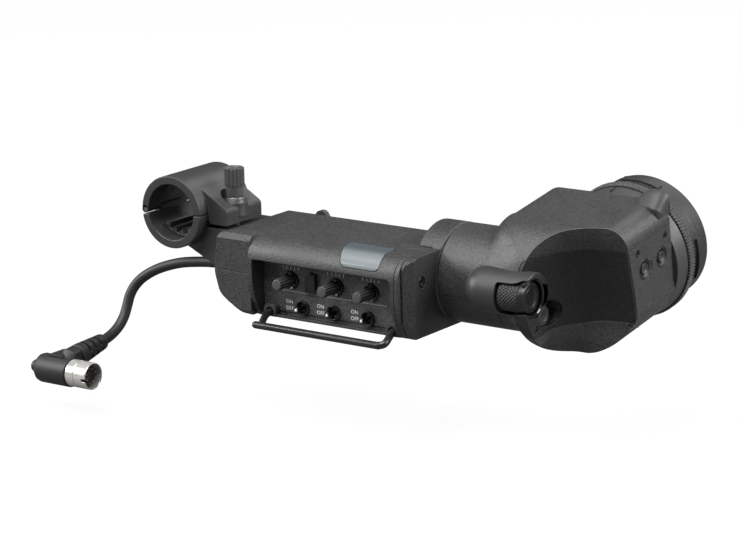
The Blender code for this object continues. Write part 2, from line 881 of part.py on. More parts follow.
def make_end_plate(looks, neck):
    """The right end plate, and the boss round the tilt axis that stands proud of the body."""
    lift = END_FRONT - BODY_FRONT
    section = [(max(across, BODY_FRONT + lift), up) for across, up in shell_section()]
    kept_points = [section[0]]
    for point in section[1:]:
        last = kept_points[-1]
        if hypot(point[0] - last[0], point[1] - last[1]) > GAP:
            kept_points.append(point)
    plate = extruded(
        "end_plate", [kept_points], BODY_RIGHT + GAP, END_FACE, "x", neck, looks["end"]
    )
    chamfer = [
        (END_FACE - END_CHAMFER - OVERRUN, END_FRONT - OVERRUN),
        (END_FACE + OVERRUN, END_FRONT + END_CHAMFER + OVERRUN),
        (END_FACE + OVERRUN, END_FRONT - OVERRUN),
    ]
    cut(
        plate,
        extruded(
            "cut_end_chamfer", [chamfer], BODY_BOTTOM - OVERRUN, BODY_TOP + OVERRUN, "z", neck, None
        ),
    )
    boss = rod(
        "join_tilt_boss",
        BOSS_RADIUS,
        BOSS_LEFT,
        BOSS_FACE,
        (0, 0),
        "x",
        neck,
        None,
        FINE_STEPS,
    )
    rounded(boss, EDGE_BEVEL, steps=1)
    beside_shell = block(
        "cut_boss_inside",
        (BOSS_LEFT - OVERRUN, BODY_FRONT, -BOSS_RADIUS - OVERRUN),
        (BODY_RIGHT + GAP, BODY_REAR + GAP, BODY_TOP + GAP),
        neck,
        None,
    )
    washer_room = rod(
        "cut_washer_room",
        TILT_WASHER_RADIUS + GAP,
        BOSS_LEFT - OVERRUN,
        BODY_RIGHT + GAP,
        (0, 0),
        "x",
        neck,
        None,
    )
    cut(boss, beside_shell, washer_room)
    fused(plate, boss)
    bore = rod(
        "cut_shaft_hole",
        SHAFT_RADIUS + SHAFT_CLEARANCE,
        BOSS_LEFT,
        OVERRUN,
        (0, 0),
        "x",
        neck,
        None,
    )
    screw_hole = rod(
        "cut_end_screw",
        END_SCREW_RADIUS + GAP,
        END_FACE - END_SCREW_DEPTH,
        OVERRUN,
        (END_SCREW_Y, END_SCREW_Z),
        "x",
        neck,
        None,
        SMALL_STEPS,
    )
    cut(plate, bore, screw_hole)
    turned(
        "end_screw",
        screw_profile(END_SCREW_RADIUS, END_SCREW_DEPTH - GAP * 2),
        (END_FACE - GAP, END_SCREW_Y, END_SCREW_Z),
        "x",
        neck,
        looks["screw"],
        SMALL_STEPS,
    )


def screw_profile(radius, height):
    """A flat screw head with a small dished drive."""
    return [
        (0, -height / 2),
        (radius / 3, -height / 2),
        (radius / 2, 0),
        (radius * 5 / 6, 0),
        (radius, -height / 4),
        (radius, -height),
        (0, -height),
    ]


def cap_outline(left, shares):
    width = BODY_LEFT - GAP - left
    height = BODY_TOP - BODY_BOTTOM
    return [
        (BODY_LEFT - GAP - width * across, BODY_BOTTOM + height * up) for across, up in shares
    ]


CAP_FRONT_SHARES = (
    (0, 0), (0, 1), (0.93, 1), (1, 0.95), (0.99, 0.53), (0.89, 0.26), (0.81, 0.19), (0.56, 0.08),
    (0.31, 0.01),
)
CAP_MAIN_SHARES = ((0, 0), (0, 1), (1, 1), (1, 0.21), (0.67, 0.085), (0.37, 0.01))


def make_left_cap(looks, neck):
    """The left end cap, with a lip in front of the clamp's arm."""
    cap = extruded(
        "left_cap",
        [cap_outline(CAP_LEFT, CAP_MAIN_SHARES)],
        CAP_FRONT + EDGE_BEVEL,
        BODY_REAR,
        "y",
        neck,
        looks["shell"],
    )
    lip = extruded(
        "join_cap_lip",
        [cap_outline(CAP_LIP_LEFT, CAP_FRONT_SHARES)],
        CAP_FRONT,
        CAP_FRONT + CAP_LIP_DEPTH,
        "y",
        neck,
        None,
    )
    rounded(lip, EDGE_BEVEL, steps=1)
    chamfer = [
        (CAP_FRONT - OVERRUN, BODY_TOP - CAP_TOP_CHAMFER - OVERRUN),
        (CAP_FRONT + CAP_TOP_CHAMFER + OVERRUN, BODY_TOP + OVERRUN),
        (CAP_FRONT - OVERRUN, BODY_TOP + OVERRUN),
    ]
    top_cut = extruded(
        "cut_cap_chamfer", [chamfer], CAP_LIP_LEFT - OVERRUN, BODY_LEFT + OVERRUN, "x", neck, None
    )
    hollow = block(
        "cut_cap_hollow",
        (
            CAP_LEFT + BODY_WALL + GLAND_SEAT,
            CAP_FRONT + CAP_TOP_CHAMFER,
            BODY_BOTTOM + BODY_WALL + CAP_FLOOR_RISE,
        ),
        (BODY_LEFT + OVERRUN, BODY_REAR - BODY_WALL, BODY_TOP - BODY_WALL),
        neck,
        None,
    )
    gland_hole = rod(
        "cut_gland_hole",
        GLAND_RADIUS - GLAND_STEP + GAP,
        CAP_LEFT - OVERRUN,
        CAP_LEFT + BODY_WALL + GLAND_SEAT + OVERRUN,
        (CORD_Y, CORD_EXIT_Z),
        "x",
        neck,
        None,
        SMALL_STEPS,
    )
    fused(cap, lip)
    cut(cap, top_cut, hollow, gland_hole)


def make_panel(looks, neck):
    """The control panel with its raised rings, and the switches and boards behind it."""
    plate_loops = [
        rectangle(
            BODY_LEFT + GAP, BODY_RIGHT - GAP, BODY_BOTTOM + BODY_WALL + GAP, RECESS_TOP + PANEL_LAP
        )
    ]
    for x in KNOB_XS:
        plate_loops.append(arc((x, KNOB_Z), COLLAR_INNER, 0, 2 * pi, TINY_STEPS)[:-1])
    for x in TOGGLE_XS:
        plate_loops.append(arc((x, TOGGLE_Z), TOGGLE_HOLE_RADIUS, 0, 2 * pi, TINY_STEPS)[:-1])
    back = PANEL_FACE + PANEL_THICKNESS
    panel = extruded("control_panel", plate_loops, PANEL_FACE, back, "y", neck, looks["panel"])
    rings = [(x, KNOB_Z, COLLAR_RADIUS, COLLAR_INNER, COLLAR_HEIGHT) for x in KNOB_XS]
    rings += [
        (x, TOGGLE_Z, TOGGLE_RING_RADIUS, TOGGLE_HOLE_RADIUS, TOGGLE_HEIGHT) for x in TOGGLE_XS
    ]
    for index, (x, z, outer, inner, height) in enumerate(rings):
        ring = extruded(
            f"join_ring_{index + 1}",
            [
                arc((x, z), outer, 0, 2 * pi, SMALL_STEPS)[:-1],
                arc((x, z), inner, 0, 2 * pi, TINY_STEPS)[:-1],
            ],
            PANEL_FACE - height,
            PANEL_FACE + PANEL_THICKNESS / 2,
            "y",
            neck,
            None,
        )
        fused(panel, ring)
    hood = extruded(
        "join_hood",
        [
            [
                (HOOD_LEFT, HOOD_BOTTOM),
                (HOOD_RIGHT - HOOD_NOTCH, HOOD_BOTTOM),
                (HOOD_RIGHT, HOOD_BOTTOM + HOOD_NOTCH),
                (HOOD_RIGHT, HOOD_TOP),
                (HOOD_LEFT + HOOD_NOTCH, HOOD_TOP),
                (HOOD_LEFT, HOOD_TOP - HOOD_NOTCH),
            ]
        ],
        PANEL_FACE - HOOD_HEIGHT,
        PANEL_FACE + PANEL_THICKNESS / 2,
        "y",
        neck,
        None,
    )
    fused(panel, hood)

    board_front = back + GAP + POT_LENGTH + CONTROL_BOARD_SEAT
    block(
        "control_board",
        (BODY_LEFT + BOARD_MARGIN, board_front, BODY_BOTTOM + BODY_WALL + GAP),
        (BOSS_LEFT - BOARD_MARGIN, board_front + BOARD_THICKNESS, RECESS_TOP),
        neck,
        looks["board"],
    )
    names = ("peaking", "contrast", "brightness")
    for name, x in zip(names, KNOB_XS):
        make_knob(name, x, back, looks, neck)
    names = ("display", "zebra", "tally")
    for name, x in zip(names, TOGGLE_XS):
        make_toggle(name, x, back, looks, neck)


def make_knob(name, x, panel_back, looks, neck):
    """A fluted knob on the shaft of its potentiometer."""
    can = rod(
        f"{name}_potentiometer",
        POT_RADIUS,
        panel_back + GAP,
        panel_back + GAP + POT_LENGTH,
        (x, KNOB_Z),
        "y",
        neck,
        looks["metal"],
        SMALL_STEPS,
    )
    shaft = rod(
        f"join_{name}_shaft",
        POT_SHAFT_RADIUS,
        PANEL_FACE - KNOB_LENGTH / 2,
        panel_back + POT_LENGTH / 2,
        (x, KNOB_Z),
        "y",
        neck,
        None,
        TINY_STEPS,
    )
    fused(can, shaft)
    knob = fluted_bar(
        f"{name}_knob",
        KNOB_RADIUS,
        KNOB_FLUTE_DEPTH,
        KNOB_FLUTES,
        PANEL_FACE - KNOB_LENGTH,
        PANEL_FACE,
        (x, KNOB_Z),
        "y",
        neck,
        looks["knob"],
    )
    bore = rod(
        f"cut_{name}_bore",
        POT_SHAFT_RADIUS + POT_SHAFT_CLEARANCE,
        PANEL_FACE - KNOB_LENGTH / 2 - GAP,
        PANEL_FACE + OVERRUN,
        (x, KNOB_Z),
        "y",
        neck,
        None,
        TINY_STEPS,
    )
    cut(knob, bore)


def make_toggle(name, x, panel_back, looks, neck):
    """A switch case with a lever that rocks about the middle of its ball."""
    pivot_y = PANEL_FACE + TOGGLE_PIVOT_DEPTH
    pivot = frame(f"{name}_toggle_pivot", (x, pivot_y, TOGGLE_Z), neck)
    lever = ball(
        f"{name}_toggle", [TOGGLE_BALL_RADIUS] * 3, (0, 0, 0), pivot, looks["lever"], TINY_STEPS
    )
    stem = rod(
        f"join_{name}_stem",
        TOGGLE_LEVER_RADIUS,
        -TOGGLE_LEVER_LENGTH,
        0,
        (0, 0),
        "y",
        pivot,
        None,
        TINY_STEPS,
    )
    tip = ball(
        f"join_{name}_tip",
        [TOGGLE_TIP_RADIUS] * 3,
        (0, -TOGGLE_LEVER_LENGTH, 0),
        pivot,
        None,
        TINY_STEPS,
    )
    fused(lever, stem, tip)
    case = block(
        f"{name}_switch",
        (x - TOGGLE_CASE_WIDTH / 2, panel_back + GAP, TOGGLE_Z - TOGGLE_CASE_LOW),
        (x + TOGGLE_CASE_WIDTH / 2, panel_back + GAP + POT_LENGTH, TOGGLE_Z + TOGGLE_CASE_HIGH),
        neck,
        looks["metal"],
    )
    mouth = rod(
        f"cut_{name}_mouth",
        TOGGLE_HOLE_RADIUS,
        PANEL_FACE,
        pivot_y + TOGGLE_BALL_RADIUS + GAP,
        (x, TOGGLE_Z),
        "y",
        neck,
        None,
        TINY_STEPS,
    )
    cut(case, mouth)


def make_guard_bar(looks, neck):
    """A bent wire in front of the recess, its two feet pushed into bosses."""
    foot_y = PANEL_FACE - BAR_BOSS_DEPTH / 2 - GAP
    knee_y = PANEL_FACE - BAR_BOSS_DEPTH - BAR_RADIUS
    route = [(GUARD_LEFT, foot_y, BAR_FOOT_Z), (GUARD_LEFT, knee_y, BAR_FOOT_Z)]
    corner_y = BAR_Y + BAR_BEND
    left_centre = (GUARD_LEFT + BAR_BEND, corner_y)
    right_centre = (GUARD_RIGHT - BAR_BEND, corner_y)
    for across, along in arc(left_centre, BAR_BEND, pi, pi * 3 / 2, BAR_BEND_POINTS):
        route.append((across, along, BAR_Z))
    for across, along in arc(right_centre, BAR_BEND, -pi / 2, 0, BAR_BEND_POINTS):
        route.append((across, along, BAR_Z))
    route += [(GUARD_RIGHT, knee_y, BAR_FOOT_Z), (GUARD_RIGHT, foot_y, BAR_FOOT_Z)]
    tube("guard_bar", route, BAR_RADIUS, 3, neck, looks["bar"])


def tube(name, route, radius, resolution, parent, look):
    """A round wire through a list of points, with flat ends."""
    curve = bpy.data.curves.new(name, "CURVE")
    curve.dimensions = "3D"
    curve.bevel_depth = radius
    curve.bevel_resolution = resolution
    curve.use_fill_caps = True
    spline = curve.splines.new("POLY")
    spline.points.add(len(route) - 1)
    for point, place in zip(spline.points, route):
        point.co = (*place, 1)
    source = bpy.data.objects.new(name, curve)
    bpy.context.scene.collection.objects.link(source)
    return smooth(placed(name, mesh_from(source), parent, (0, 0, 0), (0, 0, 0), look), radians(60))


def clamp_ring(name, start, end, look, neck):
    """A stretch of the split tube, as a sector in X and Z."""
    centre = (-NECK_FROM_CLAMP_X, -NECK_FROM_CLAMP_Z)
    steps = FINE_STEPS // 2
    outline = arc(centre, CLAMP_OUTER, start, end, steps)
    outline += arc(centre, CLAMP_BORE, end, start, steps)
    return extruded(name, [outline], CLAMP_FRONT, CLAMP_REAR, "y", neck, look)


def make_clamp(looks, neck):
    centre_x = -NECK_FROM_CLAMP_X
    centre_z = -NECK_FROM_CLAMP_Z
    half_gap = GAP / 2 / CLAMP_OUTER
    slit = (CLAMP_KNUCKLE + CLAMP_SLIT) / CLAMP_PIN_RADIUS_AT
    pin_x = centre_x - CLAMP_PIN_RADIUS_AT
    knuckle_front = CLAMP_FRONT + CLAMP_KNUCKLE_LENGTH
    knuckle_rear = CLAMP_REAR - CLAMP_KNUCKLE_LENGTH

    arm = clamp_ring("clamp_arm", pi + slit, 2 * pi - half_gap, looks["clamp"], neck)
    web_outline = [
        (ARM_TANGENT_X, ARM_TANGENT_Z),
        (ARM_TAIL_X, ARM_TAIL_Z),
        (FLANGE_RIGHT, ARM_FOOT_Z),
        (FLANGE_RIGHT, ARM_TOP),
        (ARM_LEFT, ARM_TOP),
    ]
    web = extruded("join_arm_web", [web_outline], ARM_FRONT, ARM_REAR, "y", neck, None)
    rounded(web, EDGE_BEVEL, steps=1)
    fused(arm, web)
    lower_knuckle = rod(
        "join_lower_knuckle",
        CLAMP_KNUCKLE,
        knuckle_front + GAP,
        knuckle_rear - GAP,
        (pin_x, centre_z),
        "y",
        neck,
        None,
        SMALL_STEPS,
    )
    lower_root = block(
        "join_lower_knuckle_root",
        (pin_x - CLAMP_KNUCKLE, knuckle_front + GAP, centre_z - CLAMP_KNUCKLE * 2),
        (pin_x + CLAMP_KNUCKLE, knuckle_rear - GAP, centre_z),
        neck,
        None,
    )
    fused(arm, lower_knuckle, lower_root)
    screw_hole = rod(
        "cut_thread",
        THUMB_SHANK_RADIUS + THUMB_THREAD_CLEARANCE,
        THUMB_SHANK_END - OVERRUN / 2,
        ARM_TOP + OVERRUN,
        (THUMB_X, THUMB_Y),
        "z",
        neck,
        None,
        SMALL_STEPS,
    )
    pin_hole = rod(
        "cut_pin_hole",
        CLAMP_PIN_RADIUS + CLAMP_PIN_CLEARANCE,
        CLAMP_FRONT - OVERRUN,
        CLAMP_REAR + OVERRUN,
        (pin_x, centre_z),
        "y",
        neck,
        None,
        SMALL_STEPS,
    )
    bore = rod(
        "cut_clamp_bore",
        CLAMP_BORE,
        CLAMP_FRONT - OVERRUN,
        CLAMP_REAR + OVERRUN,
        (centre_x, centre_z),
        "y",
        neck,
        None,
        FINE_STEPS,
    )
    cut(arm, screw_hole, pin_hole, bore)

    hinge = frame("jaw_hinge", (pin_x, 0, centre_z), neck)
    jaw = clamp_ring("clamp_jaw", half_gap, pi, looks["clamp"], neck)
    give_origin(jaw, hinge)
    flange_outline = [
        (centre_x + CLAMP_OUTER + GAP, FLANGE_BOTTOM),
        (FLANGE_RIGHT, FLANGE_BOTTOM),
        (FLANGE_RIGHT, FLANGE_TOP),
        (FLANGE_RIDGE_X, FLANGE_RIDGE_Z),
        (centre_x + CLAMP_BORE + GAP * 2, centre_z + GAP),
        (centre_x + CLAMP_OUTER + GAP, centre_z + GAP),
    ]
    flange = extruded("join_flange", [flange_outline], ARM_FRONT, FLANGE_REAR, "y", neck, None)
    rounded(flange, EDGE_BEVEL, steps=1)
    arm_room = block(
        "cut_flange_root",
        (centre_x, ARM_FRONT - OVERRUN, FLANGE_BOTTOM - OVERRUN),
        (centre_x + CLAMP_OUTER + GAP, FLANGE_REAR + OVERRUN, centre_z + GAP),
        neck,
        None,
    )
    spot_face = rod(
        "cut_spot_face",
        WASHER_RADIUS + GAP * 2,
        THUMB_BOTTOM - WASHER_THICKNESS - GAP * 2,
        THUMB_TOP,
        (THUMB_X, THUMB_Y),
        "z",
        neck,
        None,
        SMALL_STEPS,
    )
    cut(flange, arm_room, spot_face)
    pad = rod(
        "join_screw_pad",
        PAD_FOOT_RADIUS,
        PAD_FOOT_Z,
        THUMB_BOTTOM - WASHER_THICKNESS - GAP * 2,
        (THUMB_X, THUMB_Y),
        "z",
        neck,
        None,
        SMALL_STEPS,
        PAD_TOP_RADIUS,
    )
    cut(pad, arm_room)
    fused(jaw, flange, pad)
    for index, (low, high) in enumerate(
        ((CLAMP_FRONT, knuckle_front), (knuckle_rear, CLAMP_REAR))
    ):
        knuckle = rod(
            f"join_upper_knuckle_{index + 1}",
            CLAMP_KNUCKLE,
            low,
            high,
            (pin_x, centre_z),
            "y",
            neck,
            None,
            SMALL_STEPS,
        )
        fused(jaw, knuckle)
    room = rod(
        "cut_lower_knuckle_room",
        CLAMP_KNUCKLE + GAP * 2,
        knuckle_front,
        knuckle_rear,
        (pin_x, centre_z),
        "y",
        neck,
        None,
        SMALL_STEPS,
    )
    through = rod(
        "cut_flange_hole",
        THUMB_HOLE_RADIUS,
        FLANGE_BOTTOM - OVERRUN,
        THUMB_BOTTOM,
        (THUMB_X, THUMB_Y),
        "z",
        neck,
        None,
        SMALL_STEPS,
    )
    cut(jaw, room, pin_hole, bore, through)
    rod(
        "jaw_pin",
        CLAMP_PIN_RADIUS,
        CLAMP_FRONT + GAP,
        CLAMP_REAR - GAP,
        (pin_x, centre_z),
        "y",
        neck,
        looks["metal"],
        SMALL_STEPS,
    )
    make_grip("lower_grip", -pi / 2, centre_x, centre_z, neck, looks)
    make_grip("upper_grip", pi / 2, centre_x, centre_z, neck, looks)
    make_thumbscrew(looks, neck)


def give_origin(item, empty):
    """Hangs a piece on an empty without moving it."""
    item.parent = empty
    item.location = Vector(item.location) - Vector(empty.location)


def make_grip(name, middle, centre_x, centre_z, neck, looks):
    """A toothed strip inside the bore, which bites on the rail."""
    centre = (centre_x, centre_z)
    outline = arc(centre, GRIP_OUTER, middle - GRIP_ANGLE, middle + GRIP_ANGLE, TINY_STEPS)
    for index in range(GRIP_TEETH * 2 + 1):
        angle = middle + GRIP_ANGLE * (1 - index / GRIP_TEETH)
        reach = GRIP_INNER - (GRIP_TOOTH if index % 2 else 0)
        outline.append((centre_x + reach * cos(angle), centre_z + reach * sin(angle)))
    extruded(name, [outline], GRIP_FRONT, GRIP_REAR, "y", neck, looks["grip"])


def make_thumbscrew(looks, neck):
    """A ribbed knob on a threaded shank, over a washer on the jaw's pad."""
    place = frame("thumbscrew_axis", (THUMB_X, THUMB_Y, 0), neck)
    knob = fluted_bar(
        "thumbscrew",
        THUMB_RADIUS,
        THUMB_RIB_DEPTH,
        THUMB_RIBS,
        THUMB_GRIP_BOTTOM,
        THUMB_TOP,
        (0, 0),
        "z",
        place,
        looks["thumb"],
    )
    stem = turned(
        "join_thumb_stem",
        [
            (0, THUMB_GRIP_BOTTOM + THUMB_CHAMFER),
            (THUMB_NECK_RADIUS, THUMB_GRIP_BOTTOM + THUMB_CHAMFER),
            (THUMB_NECK_RADIUS, THUMB_BOTTOM),
            (THUMB_SHANK_RADIUS, THUMB_BOTTOM),
            (THUMB_SHANK_RADIUS, THUMB_SHANK_END),
            (0, THUMB_SHANK_END),
        ],
        (0, 0, 0),
        "z",
        place,
        None,
        SMALL_STEPS,
    )
    fused(knob, stem)
    turned(
        "thumbscrew_washer",
        [
            (WASHER_RADIUS, THUMB_BOTTOM - GAP),
            (WASHER_RADIUS, THUMB_BOTTOM - GAP - WASHER_THICKNESS),
            (THUMB_SHANK_RADIUS + GAP, THUMB_BOTTOM - GAP - WASHER_THICKNESS),
            (THUMB_SHANK_RADIUS + GAP, THUMB_BOTTOM - GAP),
        ],
        (0, 0, 0),
        "z",
        place,
        looks["metal"],
        SMALL_STEPS,
        closed=True,
    )


def smooth_route(points):
    """Points a steady step apart on a Catmull-Rom curve through the given ones."""
    places = [Vector(point) for point in points]
    places = [places[0] * 2 - places[1], *places, places[-1] * 2 - places[-2]]
    fine = []
    for index in range(1, len(places) - 2):
        before, start, end, after = places[index - 1 : index + 3]
        for sample in range(CORD_SAMPLES):
            t = sample / CORD_SAMPLES
            fine.append(
                (
                    start * 2
                    + (end - before) * t
                    + (before * 2 - start * 5 + end * 4 - after) * t**2
                    + (start * 3 - before - end * 3 + after) * t**3
                )
                / 2
            )
    fine.append(places[-2])
    total = sum((end - start).length for start, end in zip(fine, fine[1:]))
    count = round(total / CORD_SPACING)
    route = [fine[0]]
    walked = 0
    for start, end in zip(fine, fine[1:]):
        step = (end - start).length
        while walked + step >= total * len(route) / count and len(route) < count:
            share = (total * len(route) / count - walked) / step
            route.append(start.lerp(end, share))
        walked += step
    route.append(fine[-1])
    return route


def make_cord(looks, neck):
    """The cable from its gland in the left cap to the angled plug."""
    gland = turned(
        "cord_gland",
        [
            (0, 0),
            (GLAND_END_RADIUS, 0),
            (GLAND_RADIUS, -GLAND_LENGTH + GLAND_COLLAR),
            (GLAND_RADIUS, -GLAND_LENGTH),
            (GLAND_RADIUS - GLAND_STEP, -GLAND_LENGTH),
            (GLAND_RADIUS - GLAND_STEP, -GLAND_LENGTH - BODY_WALL - GLAND_SEAT),
            (0, -GLAND_LENGTH - BODY_WALL - GLAND_SEAT),
        ],
        (CAP_LEFT - GAP - GLAND_LENGTH, CORD_Y, CORD_EXIT_Z),
        "x",
        neck,
        looks["cable"],
        SMALL_STEPS,
    )
    gland.rotation_euler = (0, -pi / 2, 0)
    tube("cord", smooth_route(CORD_ROUTE), CORD_DIAMETER / 2, 3, neck, looks["cable"])

    start = Vector(CORD_ROUTE[-1])
    along = Vector((0, -RELIEF_LENGTH, -RELIEF_DROP)).normalized()
    turn = along.to_track_quat("Z", "Y").to_euler()
    relief_start = start + along * GAP
    profile = [(RELIEF_ROOT_RADIUS, RELIEF_LENGTH)]
    pitch = RELIEF_LENGTH / (RELIEF_GROOVES * 2 + 1)
    for index in range(RELIEF_GROOVES):
        middle = RELIEF_LENGTH * RELIEF_GROOVE_SHARE - index * pitch * RELIEF_PITCH_SHARE
        radius = relief_radius(middle)
        half = RELIEF_GROOVE_WIDTH / 2
        profile += [
            (radius, middle + half),
            (radius - RELIEF_GROOVE_DEPTH, middle + half),
            (radius - RELIEF_GROOVE_DEPTH, middle - half),
            (radius, middle - half),
        ]
    profile += [(RELIEF_TIP_RADIUS, 0)]
    relief = turned(
        "strain_relief",
        [(0, RELIEF_LENGTH), *profile, (0, 0)],
        relief_start,
        "z",
        neck,
        looks["cable"],
        SMALL_STEPS,
    )
    relief.rotation_euler = turn

    plug = turned(
        "plug_body",
        [
            (0, PLUG_RIGHT - PLUG_LEFT),
            (PLUG_RADIUS, PLUG_RIGHT - PLUG_LEFT),
            (PLUG_RADIUS, PLUG_ROUND),
            (PLUG_RADIUS - PLUG_ROUND / 3, PLUG_ROUND / 3),
            (PLUG_RADIUS - PLUG_ROUND, 0),
            (PLUG_NUB_RADIUS, 0),
            (PLUG_NUB_RADIUS, -PLUG_NUB_LENGTH),
            (0, -PLUG_NUB_LENGTH),
        ],
        (PLUG_LEFT, PLUG_Y, PLUG_Z),
        "x",
        neck,
        looks["cable"],
        ROUND_STEPS,
    )
    relief_end = relief_start + along * (RELIEF_LENGTH + GAP)
    neck_block = turned(
        "join_plug_neck",
        [
            (0, RELIEF_ROOT_RADIUS * 2),
            (RELIEF_ROOT_RADIUS, RELIEF_ROOT_RADIUS),
            (RELIEF_ROOT_RADIUS, 0),
            (0, 0),
        ],
        relief_end,
        "z",
        neck,
        None,
        SMALL_STEPS,
    )
    neck_block.rotation_euler = turn
    beyond = block(
        "cut_plug_neck",
        (PLUG_RIGHT, PLUG_Y - PLUG_RADIUS, PLUG_Z - PLUG_RADIUS),
        (SHELL_RIGHT, PLUG_Y + PLUG_RADIUS * 2, PLUG_Z + PLUG_RADIUS * 2),
        neck,
        None,
    )
    cut(neck_block, beyond)
    top = block(
        "join_plug_top",
        (PLUG_TOP_LEFT, PLUG_Y - PLUG_RADIUS / 3, PLUG_Z),
        (PLUG_RIGHT - PLUG_ROUND, relief_end.y, PLUG_Z + PLUG_TOP_HEIGHT),
        neck,
        None,
        PLUG_ROUND,
    )
    fused(plug, neck_block, top)
    shell = turned(
        "plug_shell",
        [
            (SHELL_RADIUS, SHELL_RIGHT - PLUG_RIGHT),
            (SHELL_RADIUS, GAP),
            (SHELL_INNER, GAP),
            (SHELL_INNER, SHELL_RIGHT - PLUG_RIGHT),
        ],
        (PLUG_RIGHT, PLUG_Y, PLUG_Z),
        "x",
        neck,
        looks["nickel"],
        ROUND_STEPS,
        closed=True,
    )
    key = block(
        "cut_shell_key",
        (SHELL_RIGHT - SHELL_KEY_DEPTH, PLUG_Y - SHELL_RADIUS - OVERRUN, PLUG_Z - SHELL_KEY_WIDTH),
        (SHELL_RIGHT + OVERRUN, PLUG_Y, PLUG_Z),
        neck,
        None,
    )
    cut(shell, key)
    insert = turned(
        "plug_insert",
        [
            (0, SHELL_RIGHT - PLUG_RIGHT - INSERT_RECESS),
            (SHELL_INNER - GAP, SHELL_RIGHT - PLUG_RIGHT - INSERT_RECESS),
            (SHELL_INNER - GAP, GAP),
            (0, GAP),
        ],
        (PLUG_RIGHT, PLUG_Y, PLUG_Z),
        "x",
        neck,
        looks["insert"],
        SMALL_STEPS,
    )
    for index in range(INSERT_PINS):
        angle = 2 * pi * (index + 0.5) / (INSERT_PINS + 1)
        pin = rod(
            f"join_contact_{index + 1}",
            INSERT_PIN_RADIUS,
            SHELL_RIGHT - INSERT_RECESS - OVERRUN,
            SHELL_RIGHT - INSERT_RECESS + INSERT_PIN_LENGTH,
            (
                PLUG_Y + INSERT_PIN_CIRCLE * sin(angle),
                PLUG_Z + INSERT_PIN_CIRCLE * cos(angle),
            ),
            "x",
            neck,
            None,
            CONTACT_STEPS,
        )
        fused(insert, pin)


def relief_radius(height):
    share = height / RELIEF_LENGTH
    return RELIEF_TIP_RADIUS + (RELIEF_ROOT_RADIUS - RELIEF_TIP_RADIUS) * share


def housing_section(inset=0.0):
    """The head's section across the eyepiece axis: flat top and right side, round below."""
    radius = HOUSING_RADIUS - inset
    top = HOUSING_TOP - inset
    right = HOUSING_RIGHT - inset
    left = HOUSING_LEFT + inset
    corner = HOUSING_CORNER - inset
    drop = -asin((right - EYE_X) / radius) + pi / 2
    points = arc((right - corner, top - corner), corner, 0, pi / 2, 5)
    shoulder = HOUSING_SHOULDER - inset
    points += arc((left + shoulder, top - shoulder), shoulder, pi / 2, pi, 5)
    points.append((left, 0))
    points.append((EYE_X - radius, EYE_Z))
    points += arc((EYE_X, EYE_Z), radius, pi, 2 * pi - drop, 18)[1:]
    return points


def scoop_plan():
    """The scoop's line from above: down its left wall, then curving round to the right side."""
    points = [(SCOOP_WALL_X, SCOOP_WALL_Y)]
    for index in range(SCOOP_POINTS + 1):
        share = index / SCOOP_POINTS
        angle = pi - share * pi / 2 * SCOOP_TURN_SHARE
        reach = SCOOP_BEND_X * (1 + cos(angle))
        depth = SCOOP_BEND * sin(angle)
        points.append((SCOOP_WALL_X + reach, SCOOP_WALL_Y + SCOOP_WALL_RUN + depth))
    points.append((HOUSING_RIGHT + OVERRUN, SCOOP_RIGHT_Y))
    return points


def offset_line(points, distance):
    """The line moved to its left by the distance, each point along its own square."""
    moved = []
    for index, (x, y) in enumerate(points):
        before = points[max(index - 1, 0)]
        after = points[min(index + 1, len(points) - 1)]
        run = hypot(after[0] - before[0], after[1] - before[1])
        across = (after[1] - before[1]) / run * distance
        along = (after[0] - before[0]) / run * distance
        moved.append((x - across, y + along))
    return moved


def lengthened(points, reach):
    """The line with both its ends drawn out straight."""
    longer = list(points)
    for end, beside in ((0, 1), (-1, -2)):
        run = hypot(points[end][0] - points[beside][0], points[end][1] - points[beside][1])
        share = 1 + reach / run
        longer[end] = tuple(
            inner + (outer - inner) * share for inner, outer in zip(points[beside], points[end])
        )
    return longer


def cover_line(points):
    """The stretch of the scoop's line that the front cover fills."""
    right = HOUSING_RIGHT - COVER_SIDE_MARGIN
    line = [point for point in points if point[1] > COVER_LEFT_Y and point[0] < right]
    before, after = line[-1], points[points.index(line[-1]) + 1]
    share = (right - before[0]) / (after[0] - before[0])
    return [*line, (right, before[1] + (after[1] - before[1]) * share)]


def nose_profile(grow, right):
    """The neck and the nose that swells from it, as a solid about the tilt axis."""
    swell = NOSE_FULL - NOSE_START
    rise = NOSE_RADIUS - NECK_RADIUS
    return [
        (0, right),
        (NOSE_RADIUS + grow, right),
        (NOSE_RADIUS + grow, NOSE_FULL),
        (NECK_RADIUS + grow + rise * NOSE_MID_SHARE, NOSE_START + swell * NOSE_MID_RUN_SHARE),
        (NECK_RADIUS + grow + rise * NOSE_FOOT_SHARE, NOSE_START + swell * NOSE_FOOT_RUN_SHARE),
        (NECK_RADIUS + grow, NOSE_START),
        (NECK_RADIUS + grow, NECK_LEFT),
        (0, NECK_LEFT),
    ]


